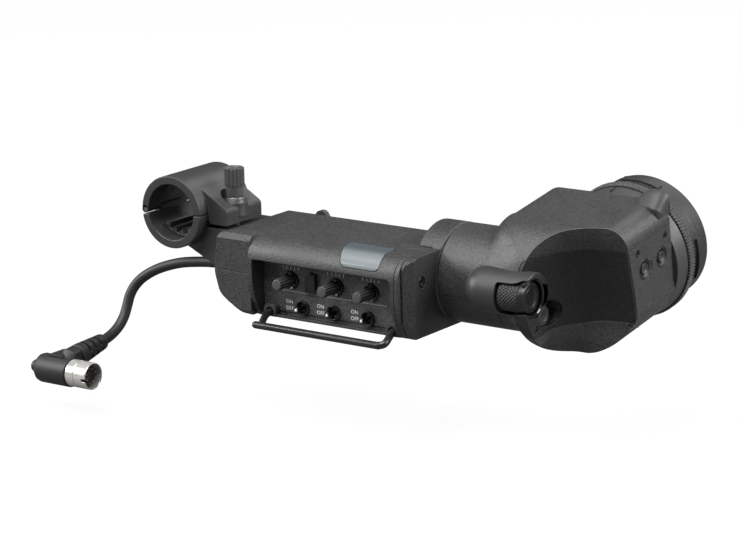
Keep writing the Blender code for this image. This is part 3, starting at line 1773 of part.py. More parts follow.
def crowned_block(name, grow, head):
    """The housing round the eyepiece, its front rounded off about a line along X."""
    shape = extruded(
        name, [housing_section(-grow)], HOUSING_FRONT - grow, HOUSING_REAR, "y", head, None
    )
    crown = rod(
        f"keep_crown_{name}",
        CROWN_RADIUS + grow,
        0,
        HOUSING_RIGHT + OVERRUN,
        (CROWN_CENTRE_Y, CROWN_CENTRE_Z),
        "x",
        head,
        None,
        FINE_STEPS,
    )
    behind = block(
        f"join_behind_{name}",
        (0, CROWN_CENTRE_Y, -HOUSING_RADIUS * 2),
        (HOUSING_RIGHT + OVERRUN, HOUSING_REAR + OVERRUN, HOUSING_RADIUS * 2),
        head,
        None,
    )
    below = extruded(
        f"join_below_{name}",
        [arc((0, 0), CHIN_RADIUS + grow, pi, 2 * pi, ROUND_STEPS)],
        SCOOP_WALL_X + GAP,
        HOUSING_RIGHT + OVERRUN,
        "x",
        head,
        None,
    )
    fused(crown, behind, below)
    kept(shape, crown)
    return shape


def make_head(looks, head):
    housing = turned(
        "head_housing",
        nose_profile(0, NOSE_RIGHT),
        (0, 0, 0),
        "x",
        head,
        looks["head"],
        FINE_STEPS,
    )
    block_body = crowned_block("join_housing", 0, head)
    scoop_line = scoop_plan()
    front = HOUSING_FRONT - OVERRUN
    scoop_outline = [
        *scoop_line,
        (HOUSING_RIGHT + OVERRUN, front),
        (SCOOP_WALL_X, front),
    ]
    scoop = extruded(
        "cut_scoop",
        [scoop_outline],
        -HOUSING_RADIUS - OVERRUN * 4,
        HOUSING_TOP + OVERRUN * 4,
        "z",
        head,
        None,
    )
    catch = ball(
        "join_catch", [CATCH_RADIUS, CATCH_LENGTH, CATCH_RADIUS], (CATCH_X, CATCH_REAR, CATCH_Z),
        head, None,
    )
    catch_end = block(
        "keep_catch",
        (CATCH_X - CATCH_RADIUS * 2, CATCH_REAR - CATCH_LENGTH * 2, 0),
        (CATCH_X + CATCH_RADIUS * 2, CATCH_REAR, CATCH_Z + CATCH_RADIUS * 2),
        head,
        None,
    )
    kept(catch, catch_end)
    cavity = rod(
        "cut_cavity",
        CAVITY_RADIUS,
        CAVITY_FRONT,
        HOUSING_REAR + OVERRUN,
        (EYE_X, EYE_Z),
        "y",
        head,
        None,
        FINE_STEPS,
    )
    neck_room = rod(
        "cut_neck_room",
        NECK_RADIUS - NECK_WALL,
        NECK_LEFT + NECK_END_WALL,
        SCOOP_WALL_X - POD_DEPTH,
        (0, 0),
        "x",
        head,
        None,
    )
    shaft_hole = rod(
        "cut_neck_shaft_hole",
        SHAFT_RADIUS + SHAFT_CLEARANCE,
        -OVERRUN,
        NECK_LEFT + NECK_END_WALL + OVERRUN,
        (0, 0),
        "x",
        head,
        None,
    )
    fused(housing, block_body)
    fused(housing, catch)
    cut(housing, scoop, cavity, neck_room, shaft_hole)

    lower_left = (NECK_LEFT - OVERRUN, -NECK_RADIUS - OVERRUN, -NECK_RADIUS - OVERRUN)
    lower_right = (NECK_COVER_RIGHT + GAP, NECK_RADIUS + OVERRUN, NECK_SPLIT_Z)
    cut(housing, block("cut_neck_lower", lower_left, lower_right, head, None))
    cover = rod(
        "neck_cover",
        NECK_RADIUS,
        NECK_LEFT,
        NECK_COVER_RIGHT,
        (0, 0),
        "x",
        head,
        looks["head"],
        FINE_STEPS,
    )
    upper_low = (NECK_LEFT - OVERRUN, -NECK_RADIUS - OVERRUN, NECK_SPLIT_Z - GAP)
    upper_high = (NECK_COVER_RIGHT + OVERRUN, NECK_RADIUS + OVERRUN, NECK_RADIUS + OVERRUN)
    cut(
        cover,
        block("cut_neck_upper", upper_low, upper_high, head, None),
        neck_room,
        shaft_hole,
    )

    line = cover_line(scoop_line)
    front_cover = extruded(
        "front_cover",
        [line + offset_line(line, COVER_THICKNESS)[::-1]],
        COVER_BOTTOM + GAP,
        COVER_TOP - GAP,
        "z",
        head,
        looks["scoop"],
    )
    smooth(front_cover)
    seat = lengthened(line, GAP)
    seat_outline = offset_line(seat, -OVERRUN) + offset_line(seat, COVER_THICKNESS + GAP)[::-1]
    cut(
        housing,
        extruded("cut_front_seat", [seat_outline], COVER_BOTTOM, COVER_TOP, "z", head, None),
    )


def side_outline(thickness, grow):
    """The side panel's section: down the flat side and round the curve below it."""
    outer = HOUSING_RADIUS
    inner = HOUSING_RADIUS - thickness - grow
    right = HOUSING_RIGHT
    flat_low = EYE_Z - (outer**2 - (right - EYE_X) ** 2) ** 0.5
    inner_low = EYE_Z - (inner**2 - (right - thickness - grow - EYE_X) ** 2) ** 0.5
    start = atan2(flat_low - EYE_Z, right - EYE_X)
    end = asin((SIDE_BOTTOM - grow - EYE_Z) / outer)
    inner_start = atan2(inner_low - EYE_Z, right - thickness - grow - EYE_X)
    inner_end = asin((SIDE_BOTTOM - grow - EYE_Z) / inner)
    over = OVERRUN if grow else 0
    return [
        (right + over, SIDE_TOP + grow),
        *arc((EYE_X, EYE_Z), outer + over, start, end, 5),
        *arc((EYE_X, EYE_Z), inner, inner_end, inner_start, 5),
        (right - thickness - grow, SIDE_TOP + grow),
    ]


def make_side(looks, head):
    """The panel on the head's right, with its two buttons in rings."""
    housing = bpy.data.objects["head_housing"]
    seat = extruded(
        "cut_side_seat",
        [side_outline(SIDE_THICKNESS, GAP)],
        SIDE_FRONT - GAP,
        HOUSING_REAR + OVERRUN,
        "y",
        head,
        None,
    )
    cut(housing, seat)
    panel = extruded(
        "side_panel",
        [side_outline(SIDE_THICKNESS, 0)],
        SIDE_FRONT,
        HOUSING_REAR,
        "y",
        head,
        looks["side"],
    )
    smooth(panel)
    for index, y in enumerate(SIDE_BUTTON_YS):
        centre = (y, SIDE_BUTTON_Z)
        dish = rod(
            f"cut_side_ring_{index + 1}",
            SIDE_RECESS_RADIUS,
            HOUSING_RIGHT - SIDE_RECESS_DEPTH,
            HOUSING_RIGHT + OVERRUN,
            centre,
            "x",
            head,
            None,
            SMALL_STEPS,
        )
        hole = rod(
            f"cut_side_button_{index + 1}",
            SIDE_BUTTON_RADIUS + GAP,
            HOUSING_RIGHT - SIDE_THICKNESS - OVERRUN,
            HOUSING_RIGHT + OVERRUN,
            centre,
            "x",
            head,
            None,
            SMALL_STEPS,
        )
        room = rod(
            f"cut_side_room_{index + 1}",
            SIDE_BUTTON_FLANGE + GAP,
            HOUSING_RIGHT - SIDE_BUTTON_LENGTH - OVERRUN,
            HOUSING_RIGHT - SIDE_THICKNESS - GAP / 2,
            centre,
            "x",
            head,
            None,
            SMALL_STEPS,
        )
        cut(panel, dish, hole)
        cut(housing, room)
        turned(
            f"assign_button_{index + 1}",
            [
                (0, -SIDE_RECESS_DEPTH / 2),
                (SIDE_BUTTON_RADIUS * BUTTON_DISH_SHARE, -SIDE_RECESS_DEPTH / 2),
                (SIDE_BUTTON_RADIUS * BUTTON_RIM_SHARE, 0),
                (SIDE_BUTTON_RADIUS, 0),
                (SIDE_BUTTON_RADIUS, -SIDE_THICKNESS - GAP),
                (SIDE_BUTTON_FLANGE, -SIDE_THICKNESS - GAP),
                (SIDE_BUTTON_FLANGE, -SIDE_BUTTON_LENGTH + SIDE_BUTTON_TRAVEL),
                (0, -SIDE_BUTTON_LENGTH + SIDE_BUTTON_TRAVEL),
            ],
            (HOUSING_RIGHT, *centre),
            "x",
            head,
            looks["button"],
            SMALL_STEPS,
        )


def make_dial(looks, head):
    """The pod on the nose with the menu dial in its carrier, and the menu button."""
    housing = bpy.data.objects["head_housing"]
    pod_length = POD_RIGHT - POD_LEFT
    dome = [
        (
            POD_RADIUS * cos(pi / 2 * index / DOME_STEPS),
            -pod_length - POD_RADIUS * POD_DOME_SHARE * sin(pi / 2 * index / DOME_STEPS),
        )
        for index in range(DOME_STEPS)
    ]
    dome.append((0, -pod_length - POD_RADIUS * POD_DOME_SHARE))
    pod = turned(
        "dial_pod",
        [(0, 0), (POD_RADIUS - EDGE_BEVEL, 0), (POD_RADIUS, -EDGE_BEVEL), *dome],
        (POD_RIGHT, POD_Y, DIAL_Z),
        "x",
        head,
        looks["pod"],
        ROUND_STEPS,
    )
    foot = turned(
        "cut_pod_foot",
        nose_profile(GAP, NOSE_RIGHT + OVERRUN),
        (0, 0, 0),
        "x",
        head,
        None,
        FINE_STEPS,
    )
    dial_room = rod(
        "cut_dial_room",
        DIAL_RADIUS + DIAL_CLEARANCE,
        DIAL_LEFT - GAP * 2,
        SCOOP_WALL_X + OVERRUN,
        (DIAL_Y, DIAL_Z),
        "x",
        head,
        None,
    )
    carrier_left = DIAL_LEFT - GAP * 2 - CARRIER_LENGTH
    half = CARRIER_WIDTH / 2
    carrier_room = block(
        "cut_carrier_room",
        (carrier_left - GAP, DIAL_Y - half - GAP, DIAL_Z - half - GAP),
        (DIAL_LEFT, DIAL_Y + half + DIAL_CLEARANCE, DIAL_Z + half + GAP),
        head,
        None,
    )
    window = block(
        "cut_dial_window",
        (POD_WINDOW_LEFT, POD_Y - POD_RADIUS - OVERRUN, POD_WINDOW_BOTTOM),
        (POD_RIGHT + OVERRUN, DIAL_Y, POD_WINDOW_TOP),
        head,
        None,
    )
    cut(pod, foot, crowned_block("cut_pod_side", GAP, head), dial_room, carrier_room, window)
    cut(housing, dial_room, carrier_room)

    carrier = block(
        "dial_carrier",
        (carrier_left, DIAL_Y - half, DIAL_Z - half),
        (carrier_left + CARRIER_LENGTH, DIAL_Y + half, DIAL_Z + half),
        head,
        looks["metal"],
    )
    axle_hole = rod(
        "cut_axle_hole",
        DIAL_AXLE_RADIUS + AXLE_CLEARANCE,
        carrier_left + CARRIER_LENGTH / 3,
        DIAL_LEFT,
        (DIAL_Y, DIAL_Z),
        "x",
        head,
        None,
        TINY_STEPS,
    )
    cut(carrier, axle_hole)
    dial = fluted_bar(
        "menu_dial",
        DIAL_RADIUS,
        DIAL_KNURL_DEPTH,
        DIAL_KNURLS,
        DIAL_LEFT,
        DIAL_RIGHT - DIAL_RIM,
        (DIAL_Y, DIAL_Z),
        "x",
        head,
        looks["dial"],
    )
    cap = turned(
        "join_dial_cap",
        [
            (0, -DIAL_DISH_DEPTH),
            (DIAL_DISH_RADIUS, 0),
            (DIAL_RADIUS - DIAL_RIM, 0),
            (DIAL_RADIUS - DIAL_KNURL_DEPTH * 2, -DIAL_RIM / 2),
            (DIAL_RADIUS - DIAL_KNURL_DEPTH * 2, -DIAL_RIM * 2),
            (0, -DIAL_RIM * 2),
        ],
        (DIAL_RIGHT, DIAL_Y, DIAL_Z),
        "x",
        head,
        None,
        SMALL_STEPS,
    )
    axle = rod(
        "join_dial_axle",
        DIAL_AXLE_RADIUS,
        carrier_left + CARRIER_LENGTH / 3 + GAP,
        DIAL_LEFT + OVERRUN,
        (DIAL_Y, DIAL_Z),
        "x",
        head,
        None,
        TINY_STEPS,
    )
    fused(dial, cap, axle)

    menu_centre = (MENU_Y, MENU_Z)
    recess = rod(
        "cut_menu_recess",
        MENU_RECESS_RADIUS,
        SCOOP_WALL_X - MENU_RECESS_DEPTH,
        SCOOP_WALL_X + OVERRUN,
        menu_centre,
        "x",
        head,
        None,
        SMALL_STEPS,
    )
    hole = rod(
        "cut_menu_hole",
        MENU_RADIUS + GAP,
        SCOOP_WALL_X - MENU_DEPTH,
        SCOOP_WALL_X + OVERRUN,
        menu_centre,
        "x",
        head,
        None,
        SMALL_STEPS,
    )
    cut(housing, recess, hole)
    turned(
        "menu_button",
        [
            (0, -EDGE_BEVEL / 2),
            (MENU_RADIUS * BUTTON_DISH_SHARE, -EDGE_BEVEL / 2),
            (MENU_RADIUS * BUTTON_RIM_SHARE, 0),
            (MENU_RADIUS - EDGE_BEVEL / 2, 0),
            (MENU_RADIUS, -EDGE_BEVEL / 2),
            (MENU_RADIUS, -MENU_DEPTH + MENU_TRAVEL + GAP),
            (0, -MENU_DEPTH + MENU_TRAVEL + GAP),
        ],
        (SCOOP_WALL_X, *menu_centre),
        "x",
        head,
        looks["button"],
        SMALL_STEPS,
    )


def make_tilt(looks, neck, head):
    """The hollow shaft that the head turns on, held in the end plate by a washer and a ring."""
    turned(
        "tilt_shaft",
        [
            (SHAFT_FLANGE_RADIUS, NECK_LEFT + NECK_END_WALL + GAP + SHAFT_FLANGE_THICKNESS),
            (SHAFT_FLANGE_RADIUS, NECK_LEFT + NECK_END_WALL + GAP),
            (SHAFT_RADIUS, NECK_LEFT + NECK_END_WALL + GAP),
            (SHAFT_RADIUS, SHAFT_LEFT),
            (SHAFT_BORE, SHAFT_LEFT),
            (SHAFT_BORE, NECK_LEFT + NECK_END_WALL + GAP + SHAFT_FLANGE_THICKNESS),
        ],
        (0, 0, 0),
        "x",
        head,
        looks["metal"],
        ROUND_STEPS,
        closed=True,
    )
    washer_right = BODY_RIGHT
    for name, radius, thickness, right in (
        ("tilt_washer", TILT_WASHER_RADIUS, TILT_WASHER_THICKNESS, washer_right),
        (
            "tilt_ring",
            TILT_RING_RADIUS,
            TILT_RING_THICKNESS,
            washer_right - TILT_WASHER_THICKNESS - GAP,
        ),
    ):
        turned(
            name,
            [
                (radius, 0),
                (radius, -thickness),
                (SHAFT_RADIUS + SHAFT_CLEARANCE, -thickness),
                (SHAFT_RADIUS + SHAFT_CLEARANCE, 0),
            ],
            (right, 0, 0),
            "x",
            neck,
            looks["metal"],
            ROUND_STEPS,
            closed=True,
        )


def eye_ring(name, rings, head, look, steps=FINE_STEPS):
    """A ring about the eyepiece axis, from (radius, distance along it) points down its outside."""
    return turned(name, rings, (EYE_X, 0, EYE_Z), "y", head, look, steps, closed=True)


def make_eyepiece(looks, head):
    """The rings behind the housing, and the optics and display inside."""
    eye_ring(
        "eyepiece_base",
        [
            (BASE_TUBE_OUTER, FOCUS_REAR),
            (BASE_TUBE_OUTER, BASE_RING_REAR),
            (BASE_RING_RADIUS, BASE_RING_REAR),
            (BASE_RING_FRONT_RADIUS, HOUSING_REAR + GAP),
            (CAVITY_RADIUS - GAP, HOUSING_REAR + GAP),
            (CAVITY_RADIUS - GAP, HOUSING_REAR - BASE_SEAT),
            (BASE_TUBE_INNER, HOUSING_REAR - BASE_SEAT),
            (BASE_TUBE_INNER, FOCUS_REAR),
        ],
        head,
        looks["base"],
    )
    focus = fluted_bar(
        "focus_ring",
        FOCUS_RADIUS,
        FOCUS_KNURL_DEPTH,
        FOCUS_KNURLS,
        BASE_RING_REAR + GAP,
        FOCUS_REAR,
        (EYE_X, EYE_Z),
        "y",
        head,
        looks["knurl"],
    )
    cut(
        focus,
        rod(
            "cut_focus_bore",
            BASE_TUBE_OUTER + GAP,
            BASE_RING_REAR - OVERRUN,
            FOCUS_REAR + OVERRUN,
            (EYE_X, EYE_Z),
            "y",
            head,
            None,
            FINE_STEPS,
        ),
    )
    lock_start = FOCUS_REAR + GAP
    lock = eye_ring(
        "lock_ring",
        [
            (LOCK_RADIUS, LOCK_REAR),
            (LOCK_RADIUS, lock_start),
            (EYE_NECK_OUTER + GAP, lock_start),
            (EYE_NECK_OUTER + GAP, LOCK_REAR),
        ],
        head,
        looks["ring"],
    )
    for index, middle in enumerate(LOCK_TAB_ANGLES):
        start = middle - LOCK_TAB_SPAN / 2
        end = middle + LOCK_TAB_SPAN / 2
        outline = arc((EYE_X, EYE_Z), LOCK_RADIUS + LOCK_TAB_HEIGHT, start, end, 8)
        outline += arc((EYE_X, EYE_Z), LOCK_RADIUS - LOCK_TAB_HEIGHT, end, start, 8)
        tab = extruded(
            f"join_lock_tab_{index + 1}",
            [outline],
            LOCK_REAR - LOCK_TAB_LENGTH,
            LOCK_REAR - GAP,
            "y",
            head,
            None,
        )
        fused(lock, tab)
    eye_ring(
        "eyepiece_ring",
        [
            (EYE_RING_RADIUS - EDGE_BEVEL, EYE_RING_REAR),
            (EYE_RING_RADIUS, EYE_RING_REAR - EDGE_BEVEL),
            (EYE_RING_RADIUS, LOCK_REAR + GAP),
            (EYE_NECK_OUTER, LOCK_REAR + GAP),
            (EYE_NECK_OUTER, FOCUS_REAR + GAP),
            (BASE_TUBE_INNER, FOCUS_REAR + GAP),
            (BASE_TUBE_INNER, EYE_RING_REAR - EYE_RING_LIP * 2),
            (EYE_RING_INNER, EYE_RING_REAR - EYE_RING_LIP),
            (EYE_RING_INNER, EYE_RING_REAR),
        ],
        head,
        looks["ring"],
    )
    eye_ring(
        "lens_cell",
        [
            (CELL_OUTER, CELL_REAR),
            (CELL_OUTER, CELL_FRONT),
            (CELL_INNER - CELL_LEDGE, CELL_FRONT),
            (CELL_INNER - CELL_LEDGE, FRONT_LENS_Y - LENS_THICKNESS / 2 - GAP),
            (CELL_INNER, FRONT_LENS_Y - LENS_THICKNESS / 2 - GAP),
            (CELL_INNER, CELL_REAR),
        ],
        head,
        looks["cell"],
        ROUND_STEPS,
    )
    for name, y in (("front_lens", FRONT_LENS_Y), ("rear_lens", REAR_LENS_Y)):
        half = LENS_THICKNESS / 2
        dome = [
            (LENS_RADIUS * index / 4, half + LENS_CROWN * (1 - (index / 4) ** 2))
            for index in range(5)
        ]
        turned(
            name,
            [*dome, *[(radius, -height) for radius, height in dome[::-1]]],
            (EYE_X, y, EYE_Z),
            "y",
            head,
            looks["glass"],
            ROUND_STEPS,
        )
    holder = rod(
        "display_holder",
        HOLDER_RADIUS,
        DISPLAY_Y - HOLDER_THICKNESS,
        DISPLAY_Y,
        (EYE_X, EYE_Z),
        "y",
        head,
        looks["cell"],
    )
    opening = block(
        "cut_holder_seat",
        (EYE_X - DISPLAY_WIDTH / 2, DISPLAY_Y - DISPLAY_THICKNESS, EYE_Z - DISPLAY_HEIGHT / 2),
        (EYE_X + DISPLAY_WIDTH / 2, DISPLAY_Y + OVERRUN, EYE_Z + DISPLAY_HEIGHT / 2),
        head,
        None,
    )
    cut(holder, opening)
    block(
        "display_panel",
        (
            EYE_X - DISPLAY_WIDTH / 2 + GAP,
            DISPLAY_Y - DISPLAY_THICKNESS + GAP,
            EYE_Z - DISPLAY_HEIGHT / 2 + GAP,
        ),
        (EYE_X + DISPLAY_WIDTH / 2 - GAP, DISPLAY_Y, EYE_Z + DISPLAY_HEIGHT / 2 - GAP),
        head,
        looks["display"],
    )
    rod(
        "head_board",
        HOLDER_RADIUS,
        DISPLAY_Y - HOLDER_THICKNESS - GAP - HEAD_BOARD_THICKNESS,
        DISPLAY_Y - HOLDER_THICKNESS - GAP,
        (EYE_X, EYE_Z),
        "y",
        head,
        looks["board"],
        SMALL_STEPS,
    )


def make_looks():
    """Colours and finishes, named for what they cover."""
    charcoal = (0.055, 0.055, 0.058)
    return {
        "shell": material("charcoal_shell", charcoal, 0.55),
        "end": material("end_plate", (0.045, 0.045, 0.047), 0.55),
        "head": material("head_shell", charcoal, 0.5),
        "scoop": material("front_cover", (0.035, 0.035, 0.037), 0.55),
        "side": material("side_panel", charcoal, 0.5),
        "pod": material("dial_pod", (0.04, 0.04, 0.042), 0.5),
        "panel": material("control_panel", (0.04, 0.04, 0.042), 0.5),
        "window": material("tally_window", (0.45, 0.5, 0.53), 0.2, alpha=0.6),
        "knob": material("knob", (0.08, 0.08, 0.085), 0.4),
        "lever": material("toggle_lever", (0.3, 0.3, 0.31), 0.4),
        "button": material("button", (0.05, 0.05, 0.052), 0.45),
        "dial": material("menu_dial", (0.05, 0.05, 0.052), 0.45),
        "bar": material("guard_bar", (0.02, 0.02, 0.021), 0.35, 0.6),
        "clamp": material("clamp_casting", (0.05, 0.05, 0.052), 0.55, 0.2),
        "grip": material("clamp_grip", (0.03, 0.03, 0.03), 0.7),
        "thumb": material("thumbscrew", (0.035, 0.035, 0.037), 0.45),
        "cable": material("cable_jacket", (0.04, 0.04, 0.042), 0.6),
        "nickel": material("nickel", (0.75, 0.73, 0.7), 0.22, 1.0),
        "insert": material("plug_insert", (0.06, 0.045, 0.03), 0.5),
        "screw": material("black_screw", (0.03, 0.03, 0.031), 0.35, 0.7),
        "metal": material("steel", (0.5, 0.5, 0.51), 0.35, 1.0),
        "board": material("circuit_board", (0.02, 0.12, 0.05), 0.5),
        "base": material("eyepiece_base", (0.16, 0.16, 0.165), 0.45),
        "knurl": material("focus_ring", (0.04, 0.04, 0.042), 0.5),
        "ring": material("eyepiece_ring", (0.06, 0.06, 0.063), 0.45),
        "cell": material("lens_cell", (0.02, 0.02, 0.02), 0.6),
        "glass": material("glass", (0.9, 0.93, 0.95), 0.03, alpha=0.35),
        "display": material("display", (0.02, 0.02, 0.025), 0.1),
    }


def main():
    global parts, cutters
    clear_scene()
    parts = collection("electronic_viewfinder", hidden=False)
    cutters = collection("cutters", hidden=True)
    looks = make_looks()
    neck = frame("neck_frame", (NECK_FROM_CLAMP_X, NECK_FROM_CLAMP_Y, NECK_FROM_CLAMP_Z))
    make_body(looks, neck)
    make_end_plate(looks, neck)
    make_left_cap(looks, neck)
    make_panel(looks, neck)
    make_guard_bar(looks, neck)
    make_clamp(looks, neck)
    make_cord(looks, neck)
    head = frame("head_frame", (0, 0, 0), neck, HEAD_PITCH)
    make_head(looks, head)
    make_side(looks, head)
    make_dial(looks, head)
    make_tilt(looks, neck, head)
    make_eyepiece(looks, head)


main()
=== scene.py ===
import json
from math import acos, asin, atan2, cos, hypot, pi, radians, sin

import bmesh
import bpy
from mathutils import Matrix, Vector


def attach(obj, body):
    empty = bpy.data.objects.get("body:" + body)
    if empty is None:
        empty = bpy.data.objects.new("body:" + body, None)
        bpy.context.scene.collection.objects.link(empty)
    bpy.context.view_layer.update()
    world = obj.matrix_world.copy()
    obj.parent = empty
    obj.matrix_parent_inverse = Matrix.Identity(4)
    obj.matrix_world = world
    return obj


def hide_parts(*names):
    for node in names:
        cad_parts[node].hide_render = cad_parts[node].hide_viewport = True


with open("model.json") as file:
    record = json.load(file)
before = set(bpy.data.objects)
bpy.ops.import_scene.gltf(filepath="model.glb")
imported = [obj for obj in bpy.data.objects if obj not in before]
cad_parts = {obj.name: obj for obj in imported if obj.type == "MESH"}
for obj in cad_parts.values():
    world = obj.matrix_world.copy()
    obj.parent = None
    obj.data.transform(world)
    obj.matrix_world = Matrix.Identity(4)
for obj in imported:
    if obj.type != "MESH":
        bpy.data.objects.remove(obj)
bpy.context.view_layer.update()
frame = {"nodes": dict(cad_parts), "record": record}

# Lengths are in millimetres, in the frame of the body's neck axis or of the tilted head.
MM = 0.001
NECK_PLACE = (0.1346, 0.0236, -0.0198)
HEAD_PITCH = radians(9)
NECK = Matrix.Translation(NECK_PLACE) @ Matrix.Scale(MM, 4)
HEAD = Matrix.Translation(NECK_PLACE) @ Matrix.Rotation(HEAD_PITCH, 4, "X") @ Matrix.Scale(MM, 4)
HEAD_BODIES = ("head", "menu_dial", "menu_button", "assign_button_1", "assign_button_2",
               "focus_ring", "lock_ring")
SHARP = 35

# Camera, lights and floor: metres here
CAMERA_PLACE = (0.8611, -1.0580, 0.3094)
AZIMUTH, ELEVATION, ROLL = radians(35.77), radians(14.26), radians(-1.20)
FILM_WIDTH = 36
FOCAL_LENGTH = 3000 / 740 * FILM_WIDTH
LIGHTS = (
    ("key", (0.0, -0.6, 1.35), (0.06, 0, -0.02), 1.1, 33),
    ("front", (-1.4, -0.9, 0.75), (0.0, 0, -0.02), 0.9, 26),
    ("side", (1.35, 0.5, 0.7), (0.15, 0.0, -0.02), 0.8, 27),
    ("back", (0.1, 1.3, 0.9), (0.06, 0, -0.02), 0.8, 4),
)
AMBIENT = 0.07
WHITE = (1, 1, 1, 1)
FLOOR_LEVEL, FLOOR_REACH, FLOOR_GLOW = -0.0955, 6, 0.94


def make_camera():
    right = Vector((cos(AZIMUTH), sin(AZIMUTH), 0))
    back = Vector((sin(AZIMUTH) * cos(ELEVATION), -cos(AZIMUTH) * cos(ELEVATION), sin(ELEVATION)))
    up = back.cross(right)
    across = right * cos(ROLL) + up * sin(ROLL)
    above = up * cos(ROLL) - right * sin(ROLL)
    data = bpy.data.cameras.new("camera")
    data.lens = FOCAL_LENGTH
    data.sensor_width = FILM_WIDTH
    data.clip_end = 20
    camera = bpy.data.objects.new("camera", data)
    bpy.context.scene.collection.objects.link(camera)
    turn = Matrix((across, above, back)).transposed().to_4x4()
    camera.matrix_world = Matrix.Translation(CAMERA_PLACE) @ turn
    bpy.context.scene.camera = camera


def make_light(name, place, target, size, power):
    data = bpy.data.lights.new(name, "AREA")
    data.energy = power
    data.size = size
    lamp = bpy.data.objects.new(name, data)
    bpy.context.scene.collection.objects.link(lamp)
    lamp.location = place
    lamp.rotation_euler = (Vector(place) - Vector(target)).to_track_quat("Z", "Y").to_euler()


def filled(node, values):
    for socket, value in values.items():
        node.inputs[socket].default_value = value
    return node


def add(tree, kind, values=None):
    """A new shader node, with values for its named inputs."""
    return filled(tree.nodes.new("ShaderNode" + kind), values or {})


def wire(tree, *pairs):
    for source, output, target, socket in pairs:
        tree.links.new(source.outputs[output], target.inputs[socket])


def make_world():
    world = bpy.data.worlds.new("studio")
    bpy.context.scene.world = world
    world.use_nodes = True
    tree = world.node_tree
    tree.nodes.clear()
    light = add(tree, "Background", {"Color": WHITE, "Strength": AMBIENT})
    white = add(tree, "Background", {"Color": WHITE, "Strength": 1})
    mix = add(tree, "MixShader")
    path = add(tree, "LightPath")
    either = add(tree, "Math")
    either.operation = "MAXIMUM"
    wire(tree,
         (path, "Is Camera Ray", either, 0),
         (path, "Is Transmission Ray", either, 1),
         (either, 0, mix, 0),
         (light, 0, mix, 1),
         (white, 0, mix, 2),
         (mix, 0, add(tree, "OutputWorld"), 0))


def make_floor():
    mesh = bpy.data.meshes.new("floor")
    corners = [(x * FLOOR_REACH, y * FLOOR_REACH, FLOOR_LEVEL)
               for x, y in ((-1, -1), (1, -1), (1, 1), (-1, 1))]
    mesh.from_pydata(corners, [], [(0, 1, 2, 3)])
    floor = bpy.data.objects.new("floor", mesh)
    bpy.context.scene.collection.objects.link(floor)
    made = bpy.data.materials.new("floor")
    made.use_nodes = True
    tree = made.node_tree
    shader = tree.nodes["Principled BSDF"]
    shader.inputs["Roughness"].default_value = 0.9
    glow = add(tree, "Emission", {"Strength": 1})
    mix = add(tree, "MixShader")
    path = add(tree, "LightPath")
    share = add(tree, "Math", {1: FLOOR_GLOW})
    share.operation = "MULTIPLY"
    tone = add(tree, "MapRange", {"To Min": 0.12, "To Max": 1.0})
    wire(tree,
         (path, "Is Camera Ray", tone, "Value"),
         (tone, "Result", shader, "Base Color"),
         (path, "Is Camera Ray", share, 0),
         (share, 0, mix, 0),
         (shader, 0, mix, 1),
         (glow, 0, mix, 2),
         (mix, 0, tree.nodes["Material Output"], "Surface"))
    mesh.materials.append(made)


